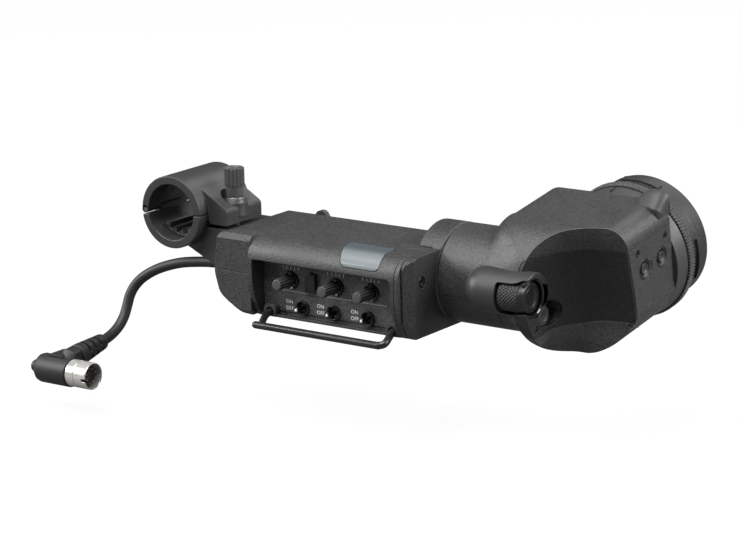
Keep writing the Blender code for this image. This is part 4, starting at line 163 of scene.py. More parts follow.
# Materials
CAST = {"grain": 0.9, "grain_size": 0.0008, "mottle": 0.6, "specular": 0.6, "edge_wear_and_highlight": 0.3}
METAL = {"metallic": 1.0}
EDGE_RADIUS = 0.0004
CHARCOAL, JET = (0.036, 0.036, 0.037), (0.012, 0.012, 0.013)
LOOKS = {
    "charcoal_shell": (CHARCOAL, 0.44, CAST),
    "end_plate": ((0.033, 0.033, 0.034), 0.44, CAST),
    "head_shell": (CHARCOAL, 0.44, CAST),
    # The front cover: darker than the housing, partly its own blacker plastic and partly painted shade of
    # the hollow; its strong pale edge is a painted highlight line.
    "front_cover": ((0.014, 0.014, 0.0145), 0.5, {**CAST, "edge_wear_and_highlight": 1.6, "specular": 0.45}),
    "side_panel": (CHARCOAL, 0.44, CAST),
    "dial_pod": ((0.034, 0.034, 0.035), 0.4, {"grain": 0.35}),
    "control_panel": ((0.07, 0.07, 0.071), 0.45, CAST),
    "tally_window": ((0.13, 0.165, 0.18), 0.3, {"grain": 0.1, "coat": 0.4}),
    "knob": ((0.075, 0.075, 0.077), 0.3, {"grain": 0.3}),
    "toggle_lever": ((0.08, 0.08, 0.08), 0.3, METAL),
    "button": (CHARCOAL, 0.42, {}),
    "menu_dial": ((0.03, 0.03, 0.032), 0.4, {}),
    "guard_bar": (JET, 0.3, {"coat": 0.3}),
    "clamp_casting": (CHARCOAL, 0.36, {"grain": 0.6}),
    "clamp_grip": ((0.055, 0.055, 0.056), 0.38, {}),
    "thumbscrew": ((0.07, 0.07, 0.072), 0.34, {}),
    "cable_jacket": ((0.02, 0.02, 0.0215), 0.5, {}),
    "nickel": ((0.84, 0.82, 0.78), 0.22, {"metallic": 0.65, "grain": 0.05, "mottle": 0.03}),
    "plug_insert": ((0.05, 0.035, 0.025), 0.5, {}),
    "black_screw": ((0.02, 0.02, 0.021), 0.35, {"metallic": 0.4}),
    "steel": ((0.4, 0.4, 0.41), 0.3, METAL),
    "circuit_board": ((0.02, 0.12, 0.05), 0.5, {}),
    "eyepiece_base": ((0.05, 0.05, 0.052), 0.42, {}),
    "focus_ring": ((0.05, 0.05, 0.052), 0.45, {}),
    "eyepiece_ring": ((0.024, 0.024, 0.025), 0.45, {}),
    "lens_cell": ((0.01, 0.01, 0.01), 0.6, {}),
    "glass": ((0.9, 0.93, 0.95), 0.03, {"grain": 0, "transmission": 1.0}),
    "display": ((0.01, 0.01, 0.012), 0.1, {}),
    "catch": ((0.045, 0.045, 0.047), 0.5, {"grain": 0.3, "specular": 0.4}),
    "dial_cap": (JET, 0.3, {"grain": 0.15}),
    "gloss_black": (JET, 0.16, {"grain": 0.1, "coat": 0.5}),
    "white_print": ((0.9, 0.9, 0.9), 0.6, {"grain": 0.1}),
    "grey_print": ((0.34, 0.34, 0.34), 0.6, {"grain": 0.1}),
    "rubber": ((0.014, 0.014, 0.0145), 0.5, {"grain": 0.3}),
    "hood": ((0.006, 0.006, 0.006), 0.5, {"grain": 0.2}),
    # A paler tone for the thin tube along the hollow's edge: a painted highlight.
    "rim": ((0.085, 0.085, 0.087), 0.3, {"grain": 0.2}),
}
# The tally window's colour by how far it faces up: a painted highlight band where it curves to the front,
# darker at its top and its foot.
WINDOW_PAINTED_HIGHLIGHTS = (
    (0.0, (0.05, 0.06, 0.065)), (0.36, (0.07, 0.09, 0.10)), (0.5, (0.13, 0.15, 0.16)),
    (0.72, (0.22, 0.24, 0.25)), (0.92, (0.15, 0.17, 0.18)), (1.0, (0.07, 0.085, 0.095)),
)


def material(name, colour, roughness, metallic=0.0, grain=0.5, grain_size=0.0005, mottle=0.12,
             edge_wear_and_highlight=0.25, coat=0.0, transmission=0.0, specular=0.5):
    """A moulded or coated surface: fine grain, uneven gloss, soft edges, and a paler tone along the edges
    that is partly edge wear and partly a painted highlight.
    """
    made = bpy.data.materials.new(name)
    made.use_nodes = True
    tree = made.node_tree
    shader = filled(tree.nodes["Principled BSDF"], {
        "Metallic": metallic, "Coat Weight": coat, "Transmission Weight": transmission,
        "Specular IOR Level": specular})
    place = add(tree, "TexCoord")
    fine = add(tree, "TexNoise", {"Scale": 1 / grain_size, "Detail": 3})
    broad = add(tree, "TexNoise", {"Scale": 60, "Detail": 4})
    soft = add(tree, "Bevel", {"Radius": EDGE_RADIUS})
    soft.samples = 4
    bump = add(tree, "Bump", {"Strength": grain, "Distance": grain_size * 0.25})
    facing = add(tree, "VectorMath")
    facing.operation = "DOT_PRODUCT"
    surface = add(tree, "NewGeometry")
    # Paler base colour where the bevelled normal turns away from the face: partly edge wear, partly a
    # painted highlight along every edge.
    pale_edge_mask = add(tree, "MapRange", {"From Min": 0.97, "From Max": 0.80, "To Max": edge_wear_and_highlight})
    spread = {"From Min": 0.3, "From Max": 0.7}
    speck = add(tree, "MapRange", {**spread, "To Min": 1 - mottle, "To Max": 1 + mottle})
    gloss = add(tree, "MapRange", {**spread, "To Min": roughness - 0.05, "To Max": roughness + 0.05})
    tone = add(tree, "VectorMath", {0: colour})
    tone.operation = "SCALE"
    pale = add(tree, "Mix")
    pale.data_type = "RGBA"
    pale.inputs["B"].default_value = (*[min(1.0, channel * 2.2 + 0.03) for channel in colour], 1)
    wire(tree,
         (place, "Object", fine, "Vector"),
         (place, "Object", broad, "Vector"),
         (fine, "Fac", bump, "Height"),
         (soft, "Normal", bump, "Normal"),
         (bump, "Normal", shader, "Normal"),
         (soft, "Normal", facing, 0),
         (surface, "Normal", facing, 1),
         (facing, "Value", pale_edge_mask, "Value"),
         (fine, "Fac", speck, "Value"),
         (speck, "Result", tone, "Scale"),
         (pale_edge_mask, "Result", pale, "Factor"),
         (tone, "Vector", pale, "A"),
         (pale, "Result", shader, "Base Color"),
         (broad, "Fac", gloss, "Value"),
         (gloss, "Result", shader, "Roughness"))
    return made


def band(made):
    """Paints a highlight into the clear cap's colour by which way it faces: a painted highlight where it
    curves to the front, darker along its top and its foot.
    """
    tree = made.node_tree
    place = add(tree, "TexCoord")
    split = add(tree, "SeparateXYZ")
    ramp = add(tree, "ValToRGB")
    stops = ramp.color_ramp.elements
    for stop, (position, colour) in ((stops[0], WINDOW_PAINTED_HIGHLIGHTS[0]), (stops[1], WINDOW_PAINTED_HIGHLIGHTS[-1])):
        stop.position = position
        stop.color = (*colour, 1)
    for position, colour in WINDOW_PAINTED_HIGHLIGHTS[1:-1]:
        stops.new(position).color = (*colour, 1)
    wire(tree,
         (place, "Normal", split, 0),
         (split, "Z", ramp, 0),
         (ramp, 0, tree.nodes["Principled BSDF"], "Base Color"))


# Shapes
def linked(data):
    item = bpy.data.objects.new("shape", data)
    bpy.context.scene.collection.objects.link(item)
    return item


def duplicate(item):
    return linked(item.data.copy())


def from_bmesh(shape):
    bmesh.ops.recalc_face_normals(shape, faces=shape.faces)
    mesh = bpy.data.meshes.new("shape")
    shape.to_mesh(mesh)
    shape.free()
    return linked(mesh)


def skinned(rings, closed=False):
    """A solid over rows of points: a row of one point is a tip, a closed one joins last to first."""
    shape = bmesh.new()
    rows = [[shape.verts.new(point) for point in ring] for ring in rings]
    pairs = list(zip(rows, rows[1:]))
    if closed:
        pairs.append((rows[-1], rows[0]))
    for first, second in pairs:
        count = max(len(first), len(second))
        for index in range(count):
            after = (index + 1) % count
            corners = (first[index % len(first)], first[after % len(first)],
                       second[after % len(second)], second[index % len(second)])
            shape.faces.new(list(dict.fromkeys(corners)))
    ends = [] if closed else [rows[0], rows[-1]]
    for row in ends:
        if len(row) > 1:
            shape.faces.new(row)
    return from_bmesh(shape)


def slab(upper, lower):
    """A solid between two grids of points."""
    shape = bmesh.new()
    top, low = ([[shape.verts.new(point) for point in row] for row in grid]
                for grid in (upper, lower))
    edges = [(top[0], low[0]), (top[-1], low[-1])]
    edges += [([row[k] for row in top], [row[k] for row in low]) for k in (0, -1)]
    for first, second in [*zip(top, top[1:]), *zip(low, low[1:]), *edges]:
        for corners in zip(first, first[1:], second[1:], second):
            shape.faces.new(corners)
    return from_bmesh(shape)


def joined(*items):
    """Several shapes as one mesh, still running through each other."""
    shape = bmesh.new()
    for item in items:
        shape.from_mesh(item.data)
        bpy.data.objects.remove(item)
    return from_bmesh(shape)


def applied(item):
    """Replaces the mesh by what its modifiers make of it."""
    bpy.context.view_layer.update()
    evaluated = item.evaluated_get(bpy.context.evaluated_depsgraph_get())
    mesh = bpy.data.meshes.new_from_object(evaluated)
    item.modifiers.clear()
    item.data = mesh
    return item


def combined(item, operation, others):
    for other in others:
        change = item.modifiers.new("boolean", "BOOLEAN")
        change.operation = operation
        change.solver = "EXACT"
        change.object = other
    applied(item)
    for other in others:
        bpy.data.objects.remove(other, do_unlink=True)
    return item


def cut(item, *tools):
    return combined(item, "DIFFERENCE", tools)


def fused(item, *others):
    return combined(item, "UNION", others)


def kept(item, *tools):
    return combined(item, "INTERSECT", tools)


def bevelled(item, width, steps=3, angle=30):
    for polygon in item.data.polygons:
        polygon.use_smooth = True
    change = item.modifiers.new("bevel", "BEVEL")
    change.width = width
    change.segments = steps
    change.limit_method = "ANGLE"
    change.angle_limit = radians(angle)
    change.use_clamp_overlap = True
    change.harden_normals = False
    return applied(item)


def on_circle(centre, radius, turn):
    return centre[0] + radius * cos(turn), centre[1] + radius * sin(turn)


def arc(centre, radius, start, end, steps):
    return [on_circle(centre, radius, start + (end - start) * k / steps) for k in range(steps + 1)]


def circle(centre, radius, steps):
    return arc(centre, radius, 0, 2 * pi, steps)[:-1]


def spot(axis, across, up, along):
    """A point from its two outline coordinates and its height along an axis."""
    if axis == "x":
        return (along, across, up)
    if axis == "y":
        return (across, along, up)
    return (across, up, along)


def prism(outline, low, high, axis):
    return skinned([[spot(axis, a, b, level) for a, b in outline] for level in (low, high)])


def box(low, high):
    outline = [(low[0], low[1]), (high[0], low[1]), (high[0], high[1]), (low[0], high[1])]
    return prism(outline, low[2], high[2], "z")


def rod(radius, low, high, centre, axis, steps=48):
    return prism(circle(centre, radius, steps), low, high, axis)


def revolved(profile, centre, axis, steps=96, closed=False):
    """A profile of (radius, height) points turned about an axis through the centre."""
    return skinned([
        [spot(axis, a, b, height) for a, b in (circle(centre, radius, steps) if radius else [centre])]
        for radius, height in profile
    ], closed)


def fluted(profile, centre, axis, flutes, depth, roundness, limit):
    """A turned shape with grooves all along the rows wider than the limit."""
    steps = flutes * 8
    rings = []
    for radius, height in profile:
        ring = []
        for k in range(steps if radius else 1):
            turn = 2 * pi * k / steps
            share = (0.5 + 0.5 * cos(flutes * turn)) ** roundness if radius > limit else 0.0
            ring.append(spot(axis, *on_circle(centre, radius - depth * share, turn), height))
        rings.append(ring)
    return skinned(rings)


def rounded_outline(points, radius, steps=4):
    """A closed outline with every corner rounded, by one radius or by a list of radii."""
    radii = radius if isinstance(radius, list) else [radius] * len(points)
    made = []
    for index, reach in enumerate(radii):
        before, corner, after = (Vector(points[(index + k) % len(points)]) for k in (-1, 0, 1))
        back, on = before - corner, after - corner
        reach = min(reach, back.length * 0.49, on.length * 0.49)
        start = corner + back.normalized() * reach
        end = corner + on.normalized() * reach
        for step in range(steps + 1):
            t = step / steps
            made.append(tuple(start * (1 - t) ** 2 + corner * 2 * t * (1 - t) + end * t ** 2))
    return made


def ball(radius, centre, rows):
    shape = bmesh.new()
    bmesh.ops.create_uvsphere(shape, u_segments=rows * 2, v_segments=rows, radius=radius)
    bmesh.ops.translate(shape, vec=Vector(centre), verts=shape.verts)
    return from_bmesh(shape)


def catmull(points, steps):
    places = [Vector(point) for point in points]
    places = [places[0] * 2 - places[1], *places, places[-1] * 2 - places[-2]]
    fine = []
    for index in range(1, len(places) - 2):
        before, start, end, after = places[index - 1 : index + 3]
        for sample in range(steps):
            t = sample / steps
            fine.append(
                (start * 2 + (end - before) * t + (before * 2 - start * 5 + end * 4 - after) * t**2
                 + (start * 3 - before - end * 3 + after) * t**3) / 2
            )
    fine.append(places[-2])
    return fine


def tube(route, radius, steps):
    """A round bar through the points."""
    points = [Vector(point) for point in route]
    side = None
    rings = []
    for index, point in enumerate(points):
        ahead = points[min(index + 1, len(points) - 1)] - points[max(index - 1, 0)]
        ahead.normalize()
        if side is None:
            side = ahead.orthogonal().normalized()
        side = (side - ahead * side.dot(ahead)).normalized()
        other = ahead.cross(side)
        rings.append([point + (side * a + other * b) * radius for a, b in circle((0, 0), 1, steps)])
    return skinned(rings)


def blend(table, value):
    """The value read from a table of (place, amount) pairs, in straight steps between its rows."""
    if value <= table[0][0]:
        return table[0][1]
    for (low, first), (high, second) in zip(table, table[1:]):
        if value <= high:
            return first + (second - first) * (value - low) / (high - low)
    return table[-1][1]


def eased(share):
    share = min(max(share, 0.0), 1.0)
    return share * share * (3 - 2 * share)


def piece(item, name, body, slot, replaced=None, look=None, sharp=SHARP):
    """Puts a finished shape into the row frame as a piece of the object."""
    item.name = name
    mesh = item.data
    mesh.name = name
    mesh.transform(HEAD if body in HEAD_BODIES else NECK)
    mesh.shade_smooth()
    mesh.set_sharp_from_angle(angle=radians(sharp))
    weigh = item.modifiers.new("normals", "WEIGHTED_NORMAL")
    weigh.keep_sharp = True
    weigh.weight = 90
    applied(item)
    item.data.materials.clear()
    item.data.materials.append(looks[look or slot])
    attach(item, body)
    if replaced:
        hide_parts(replaced)
    return item


# Head
DIAL_AT, POD_AT = (-23.1, 3.4), (-20.3, 3.4)
MENU_AT, MENU_WELL_AT, LEAF_SCREW_AT = (-15.8, -8.0), (-11.3, -8.2), (-22.4, -11.6)
BUTTONS = ((15.8, 6.6), (30.6, 6.6))
SIDE_SCREWS = ((11.1, 15.4), (34.6, 15.2))
EYE = (56.25, -1.07)
EYE_ROUND = 30.0
HOUSING_LEFT, HOUSING_RIGHT, HOUSING_TOP, HOUSING_CORNER = 20, 84.1, 29.5, 9
HOUSING_REAR = 39.6
NOSE, NOSE_START, NOSE_END = 22.5, -2.0, 53
CROWN, CROWN_AT = 26.0, 3.5
PANEL_FRONT, PANEL_FOOT, PANEL_TOP = 1.8, -17.6, 18.7
COVER_LEFT, COVER_RIGHT, COVER_LOW, COVER_HIGH = 42.0, 82.7, -16.0, 18.6
COVER_DEPTH = 1.6
SCOOP_FRONT, SCOOP_REACH = -46.0, 34.0

# Distances from the tilt axis, and where the nose begins to rise, by place and by turn
NOSE_FOOT = ((0.3, 22.5), (29.0, 22.5), (31.5, 22.9), (33.8, 24.0), (36.0, 25.7), (38.2, 27.1),
             (40.5, 27.8), (53, 27.8))
NOSE_TOP = ((0.3, 22.5), (16.1, 22.5), (16.9, 24.3), (17.7, 25.6), (18.8, 26.7), (20.2, 27.6),
            (22.2, 28.3), (24.6, 28.9), (28.0, 29.3), (53, 29.4))
RISE_START = ((0, 29.0), (30, 25.0), (60, 22.4), (90, 19.2), (105, 17.6))
RISE_LENGTH = ((0, 14.0), (30, 18.0), (60, 17.0), (75, 13.0), (90, 12.0))

# The hollow front: its line in plan, then how far it leans back at each level
SCOOP = ((39.6, -33.0), (41.2, -26.0), (43.3, -21.4), (45.3, -17.7), (47.8, -13.8), (50.0, -11.0),
         (52.3, -8.3), (55.0, -5.7), (58.2, -3.5), (62.0, -1.5), (66.6, 0.3), (71.6, 1.5),
         (77.0, 2.1), (84.3, 2.3), (90.0, 2.3))
SCOOP_LINE = [(x, y) for x, y, _ in catmull([(x, y, 0) for x, y in SCOOP], 5)]
BOWL = ((-34.0, 0.2), (-30.5, 0.2), (-28.0, 0.7), (-24.4, 1.6), (-21.5, 2.9), (-18.8, 4.0),
        (-16.2, 4.7), (-12.0, 4.9), (-7.0, 4.8), (-2.0, 4.4), (3.0, 3.8), (10.0, 3.1), (16.0, 2.3),
        (20.0, 1.5), (23.7, 0.6), (28.0, 0.0), (34.0, 0.0))
CHIN = ((-34.0, 5.0), (-30.0, 4.6), (-27.0, 3.3), (-24.0, 1.7), (-21.0, 0.6), (-18.0, 0.0))
CHIN_PROFILE = [(0, 41), (25.6, 41), (27.2, 44), (28.6, 48), (29.5, 52), (30.4, 56), (30.9, 61),
                (31.3, 90), (0, 90)]


def crown_radius(turn):
    """How far the housing's round shoulder stands from the tilt axis."""
    angle = radians(turn)
    shift = CROWN_AT * (sin(angle) - cos(angle))
    reach = shift + (shift * shift + CROWN ** 2 - 2 * CROWN_AT ** 2) ** 0.5
    return max(NOSE, min(reach, HOUSING_TOP / max(sin(angle), 0.1)))


def shoulder_radius(x, turn):
    share = (x - blend(RISE_START, turn)) / blend(RISE_LENGTH, turn)
    share = min(max(share, 0.0), 1.0)
    crisp = eased((turn - 45) / 35)
    climb = (1 - (1 - share) ** 3) * crisp + eased(share) * (1 - crisp)
    return NOSE + (crown_radius(turn) - NOSE) * climb


def foot_radius(x, turn):
    rise = eased((turn - 15) / 60) if turn <= 180 else eased((262 - turn) / 60)
    lead = 1.5 + max(0.0, 105 - turn) * 0.11 if turn <= 180 else 1.5
    below = eased((turn - 270) / 40) * eased((358 - turn) / 30) if turn > 270 else 0.0
    under = eased((turn - 230) / 40) if turn <= 270 else 1.0
    late = 5.0 * max(below, under if 230 < turn <= 330 else 0.0)
    return blend(NOSE_FOOT, x - late) * (1 - rise) + blend(NOSE_TOP, x - lead) * rise


def nose_radius(x, turn):
    """The nose's radius at a distance along the tilt axis: turn 0 faces the front, 90 the top."""
    if turn <= 105:
        return shoulder_radius(x, turn)
    if turn > 340:
        hold = eased((360 - turn) / 20)
        return foot_radius(x, turn) * hold + shoulder_radius(x, 0) * (1 - hold)
    return foot_radius(x, turn)


def nose_solid(steps=144):
    turns = [360 * index / steps for index in range(steps)]
    rings = []
    for x in [NOSE_START, *[1.0 + 0.7 * k for k in range(75)], NOSE_END]:
        reaches = [(turn, nose_radius(x, turn)) for turn in turns]
        rings.append([(x, -reach * cos(radians(turn)), reach * sin(radians(turn)))
                      for turn, reach in reaches])
    return skinned(rings)


def housing_outline():
    right, left = HOUSING_RIGHT - HOUSING_CORNER, HOUSING_LEFT + HOUSING_CORNER
    shoulder = HOUSING_TOP - HOUSING_CORNER
    drop = pi / 2 - asin((HOUSING_RIGHT - EYE[0]) / EYE_ROUND)
    return [
        *arc((right, shoulder), HOUSING_CORNER, 0, pi / 2, 16),
        *arc((left, shoulder), HOUSING_CORNER, pi / 2, pi, 16),
        (HOUSING_LEFT, 0), (EYE[0] - EYE_ROUND, EYE[1]),
        *arc(EYE, EYE_ROUND, pi, 2 * pi - drop, 64)[1:],
    ]


def head_block(front, rear):
    crown = rod(CROWN, 41, 90, (CROWN_AT, CROWN_AT), "x", 192)
    behind = box((-1, CROWN_AT, -60), (90, rear + 2, 60))
    chin = cut(revolved(CHIN_PROFILE, (0, 0), "x", 160), box((30, -60, 0), (95, 60, 60)))
    return kept(prism(housing_outline(), front, rear, "y"), fused(crown, behind, chin))


def head_form():
    """One skin over the nose and the housing, its inner and outer corners eased."""
    form = joined(nose_solid(), head_block(-31, 43))
    change = form.modifiers.new("skin", "REMESH")
    change.mode = "VOXEL"
    change.voxel_size = 0.5
    change.use_smooth_shade = True
    ease = form.modifiers.new("ease", "SMOOTH")
    ease.factor = 0.5
    ease.iterations = 5
    return kept(applied(form), box((0.3, -60, -60), (95.0, HOUSING_REAR, 40.0)))


def shifted(line, distance):
    moved = []
    for index, (x, y) in enumerate(line):
        before = line[max(index - 1, 0)]
        after = line[min(index + 1, len(line) - 1)]
        run = hypot(after[0] - before[0], after[1] - before[1])
        moved.append((x - (after[1] - before[1]) / run * distance,
                      y + (after[0] - before[0]) / run * distance))
    return moved


def bowl_lean(x, level):
    return blend(BOWL, level) * eased((x - 46) / 22)


def chin_lean(x, level):
    return blend(CHIN, level) * eased((x - 42) / 6) * (1 - eased((x - 54) / 14))


def scoop_tool(deeper=0.0):
    """What the hollow front takes away: a plan line that also leans back between top and chin."""
    line = shifted(SCOOP_LINE, deeper)
    rings = []
    for step in range(69):
        level = SCOOP_REACH * (step / 34 - 1)
        rings.append([(x, y + bowl_lean(x, level) + chin_lean(x, level), level) for x, y in line]
                     + [(x, SCOOP_FRONT, level) for x, _ in reversed(line)])
    tool = skinned(rings)
    return tool if deeper else cut(tool, leaf())


def leaf():
    """The raised plate round the dial's end and the menu button, which the hollow leaves standing."""
    outline = rounded_outline(
        [(-8.0, 3.0), (-8.0, -15.0), (-12.0, -19.5), (-22.0, -20.5), (-34.0, -16.0), (-34.0, 9.0),
         (-22.0, 12.0)], [0.5, 3.0, 4.0, 5.0, 1.0, 1.0, 4.0], 6)
    return fused(prism(outline, 30, 50.4, "x"), rod(9.9, 30, 50.39, POD_AT, "x", 96))


def cover_region(grow):
    left, right = COVER_LEFT - grow, COVER_RIGHT + grow
    low, high = COVER_LOW - grow, COVER_HIGH + grow
    outline = rounded_outline([(left, low), (right, low), (right, high), (left + 0.9, high)],
                              [0.5, 0.1, 0.1, 5.0], 10)
    return prism(outline, -40, 30, "y")


def head_pieces():
    form = head_form()
    cover = kept(duplicate(form), cover_region(0.0), scoop_tool(COVER_DEPTH))
    seat = kept(cover_region(0.22), scoop_tool(COVER_DEPTH + 0.25))
    hollow = scoop_tool()
    wells = [
        rod(5.9, 43.6, 66.0, MENU_WELL_AT, "x", 72),
        rod(4.9, 45.4, 56.0, MENU_AT, "x", 72),
        rod(8.1, 35.4, 54.0, DIAL_AT, "x", 96),
        rod(1.5, 49.6, 56.0, LEAF_SCREW_AT, "x", 32),
    ]
    for well in wells:
        cut(cover, duplicate(well))
    cut(cover, duplicate(hollow))
    shell = cut(form, hollow, seat, *wells)
    cut(shell, rod(24.6, 8.5, 60, EYE, "y", 96), rod(19.9, 3.3, 32.4, (0, 0), "x", 96),
        rod(9.3, -5, 10, (0, 0), "x", 64), box((-2, -40, -40), (30.3, 40, -1.9)),
        box((30.6, -25.7, 0.8), (36.4, -19.9, 6.0)), side_solid(1.75, 0.24))
    cut(shell, *[rod(3.8, 78.4, 83.0, place, "x", 40) for place in BUTTONS])
    piece(shell, "shell_head", "head", "head_shell", "head_housing")
    piece(cover, "cover_front", "head", "front_cover", "front_cover")
    screw = revolved(
        [(0, 50.35), (0.5, 50.35), (0.62, 50.1), (1.05, 50.1), (1.3, 49.95), (1.3, 49.0), (0, 49.0)],
        LEAF_SCREW_AT, "x", 32)
    piece(screw, "plate_screw", "head", "black_screw")


def rim_point(x):
    """Where the hollow's edge meets the shoulder or the top."""
    start = blend(SCOOP_LINE, x)
    corner = HOUSING_RIGHT - HOUSING_CORNER
    level = 20.0
    for _ in range(12):
        y = start + bowl_lean(x, level)
        level = HOUSING_TOP
        if y <= CROWN_AT:
            level = min(level, CROWN_AT + (CROWN ** 2 - (y - CROWN_AT) ** 2) ** 0.5)
        if x > corner:
            rise = (HOUSING_CORNER ** 2 - (x - corner) ** 2) ** 0.5
            level = min(level, HOUSING_TOP - HOUSING_CORNER + rise)
    return x, y, level


def rim_piece():
    """A thin pale tube along the hollow's edge: a painted highlight on that edge."""
    corner = HOUSING_RIGHT - HOUSING_CORNER
    points = [rim_point(43.6 + k * 0.75) for k in range(43)]
    points += [rim_point(corner + HOUSING_CORNER * sin(pi / 2 * k / 9)) for k in range(1, 9)]
    points += [(84.05, 2.3 + blend(BOWL, z), z) for z in [20.0 - 1.5 * k for k in range(26)]]
    points = [(x - 0.08, y + 0.1, z - 0.1) for x, y, z in points]
    piece(tube(points, 0.2, 10), "rim_highlight_line", "head", "head_shell", look="rim")


def side_solid(thickness, grow):
    """The side panel's bent plate, or with some growth the seat that it lies in."""
    inner, inside, base = EYE_ROUND - thickness, HOUSING_RIGHT - thickness, PANEL_FOOT - grow
    over = 2.0 if grow else 0.0
    half, inner_half = HOUSING_RIGHT - EYE[0], inside - EYE[0]
    start = atan2(-(EYE_ROUND ** 2 - half ** 2) ** 0.5, half)
    end = asin((base - EYE[1]) / EYE_ROUND)
    inner_start = atan2(-(inner ** 2 - inner_half ** 2) ** 0.5, inner_half)
    inner_end = asin((base - EYE[1]) / inner)
    outline = [
        (HOUSING_RIGHT + over, PANEL_TOP + grow),
        *arc(EYE, EYE_ROUND + over, start, end, 16),
        *arc(EYE, inner, inner_end, inner_start, 16),
        (inside, PANEL_TOP + grow),
    ]
    return prism(outline, PANEL_FRONT - grow, HOUSING_REAR + over, "y")


def side_pieces():
    panel = side_solid(1.4, 0.0)
    corners = rounded_outline([(PANEL_FRONT, -19.0), (41, -19.0), (41, PANEL_TOP),
                               (PANEL_FRONT, PANEL_TOP)], [0.2, 0.1, 0.1, 0.2], 6)
    kept(panel, prism(corners, 60, 100, "x"))
    cut(panel, scoop_tool())
    for place in BUTTONS:
        cut(panel, rod(4.7, 83.3, 90, place, "x", 72), rod(2.85, 80, 90, place, "x", 64))
    for place in SIDE_SCREWS:
        cut(panel, rod(1.75, 83.4, 90, place, "x", 40))
    piece(bevelled(panel, 0.25, 3, 40), "panel_side", "head", "side_panel", "side_panel")
    for number, place in enumerate(BUTTONS, 1):
        ring = revolved(
            [(4.55, 83.2), (4.55, 84.0), (4.3, 84.2), (3.95, 84.15), (3.6, 83.75), (3.15, 83.6),
             (2.95, 83.45), (2.95, 83.2)], place, "x", 72, closed=True)
        piece(ring, f"button_ring_{number}", "head", "dial_pod", look="rubber")
        button = revolved(
            [(0, 83.55), (1.0, 83.6), (1.7, 83.85), (2.1, 84.15), (2.4, 84.2), (2.6, 84.05),
             (2.6, 82.4), (3.4, 82.4), (3.4, 81.4), (0, 81.4)], place, "x", 64)
        name = f"assign_button_{number}"
        piece(button, f"assign_key_{number}", name, "button", name)
    rib = bevelled(box((83.2, 21.7, 4.0), (84.45, 23.0, 8.6)), 0.25)
    piece(rib, "button_rib", "head", "dial_pod")
    for number, place in enumerate(SIDE_SCREWS, 1):
        screw = revolved(
            [(0, 83.55), (0.75, 83.55), (0.85, 83.95), (1.3, 84.0), (1.5, 83.8), (1.5, 83.3),
             (0, 83.3)], place, "x", 40)
        piece(screw, f"side_screw_{number}", "head", "black_screw")


def catch_piece():
    """The thumb catch: a hollow front face that climbs to a rounded rear edge."""
    rear = [(68.9, 29.3), (70.4, 30.4), (72.1, 31.9), (73.8, 33.2), (75.6, 34.1), (78.4, 34.7),
            (81.0, 34.6), (83.0, 33.9), (84.6, 32.6), (85.0, 30.6), (84.7, 27.8)]
    front = [(68.9, 39.4), (69.5, 37.4), (70.8, 35.2), (72.6, 33.4), (74.8, 32.0), (77.2, 31.0),
             (79.4, 30.4), (81.4, 30.2), (83.0, 30.4), (84.1, 31.2), (84.6, 32.6)]
    base = [29.3] * 7 + [28.9, 28.2, 27.2, 25.8]
    rows = 12
    grid = []
    for (near_x, near_y), (far_x, far_z), low in zip(front, rear, base):
        strip = []
        for row in range(rows + 1):
            t = row / rows
            climb = sin(t * pi / 2) ** 1.25
            strip.append((near_x + (far_x - near_x) * t, near_y + (39.5 - near_y) * t,
                          low + (far_z - low) * climb))
        grid.append(strip)
    under = [[(x * 0.97 + 2.2, y, 24.0) for x, y, _ in strip] for strip in grid]
    piece(slab(grid, under), "thumb_catch", "head", "head_shell", look="catch", sharp=60)


def knurled(radius, depth, low, high, around, along, fine=6):
    """The dial's drum, under two sets of slanted grooves that leave a field of small diamonds."""
    steps, rows = around * fine, along * fine
    rings = []
    for row in range(rows + 1):
        run = row / rows
        ring = []
        for index in range(steps):
            turn = index / steps
            first = abs(sin(pi * (turn * around + run * along)))
            second = abs(sin(pi * (turn * around - run * along)))
            sunk = depth if row in (0, rows) else depth * (1 - min(first, second) ** 0.6)
            point = on_circle(DIAL_AT, radius - sunk, 2 * pi * turn)
            ring.append((low + (high - low) * run, *point))
        rings.append(ring)
    return skinned(rings)


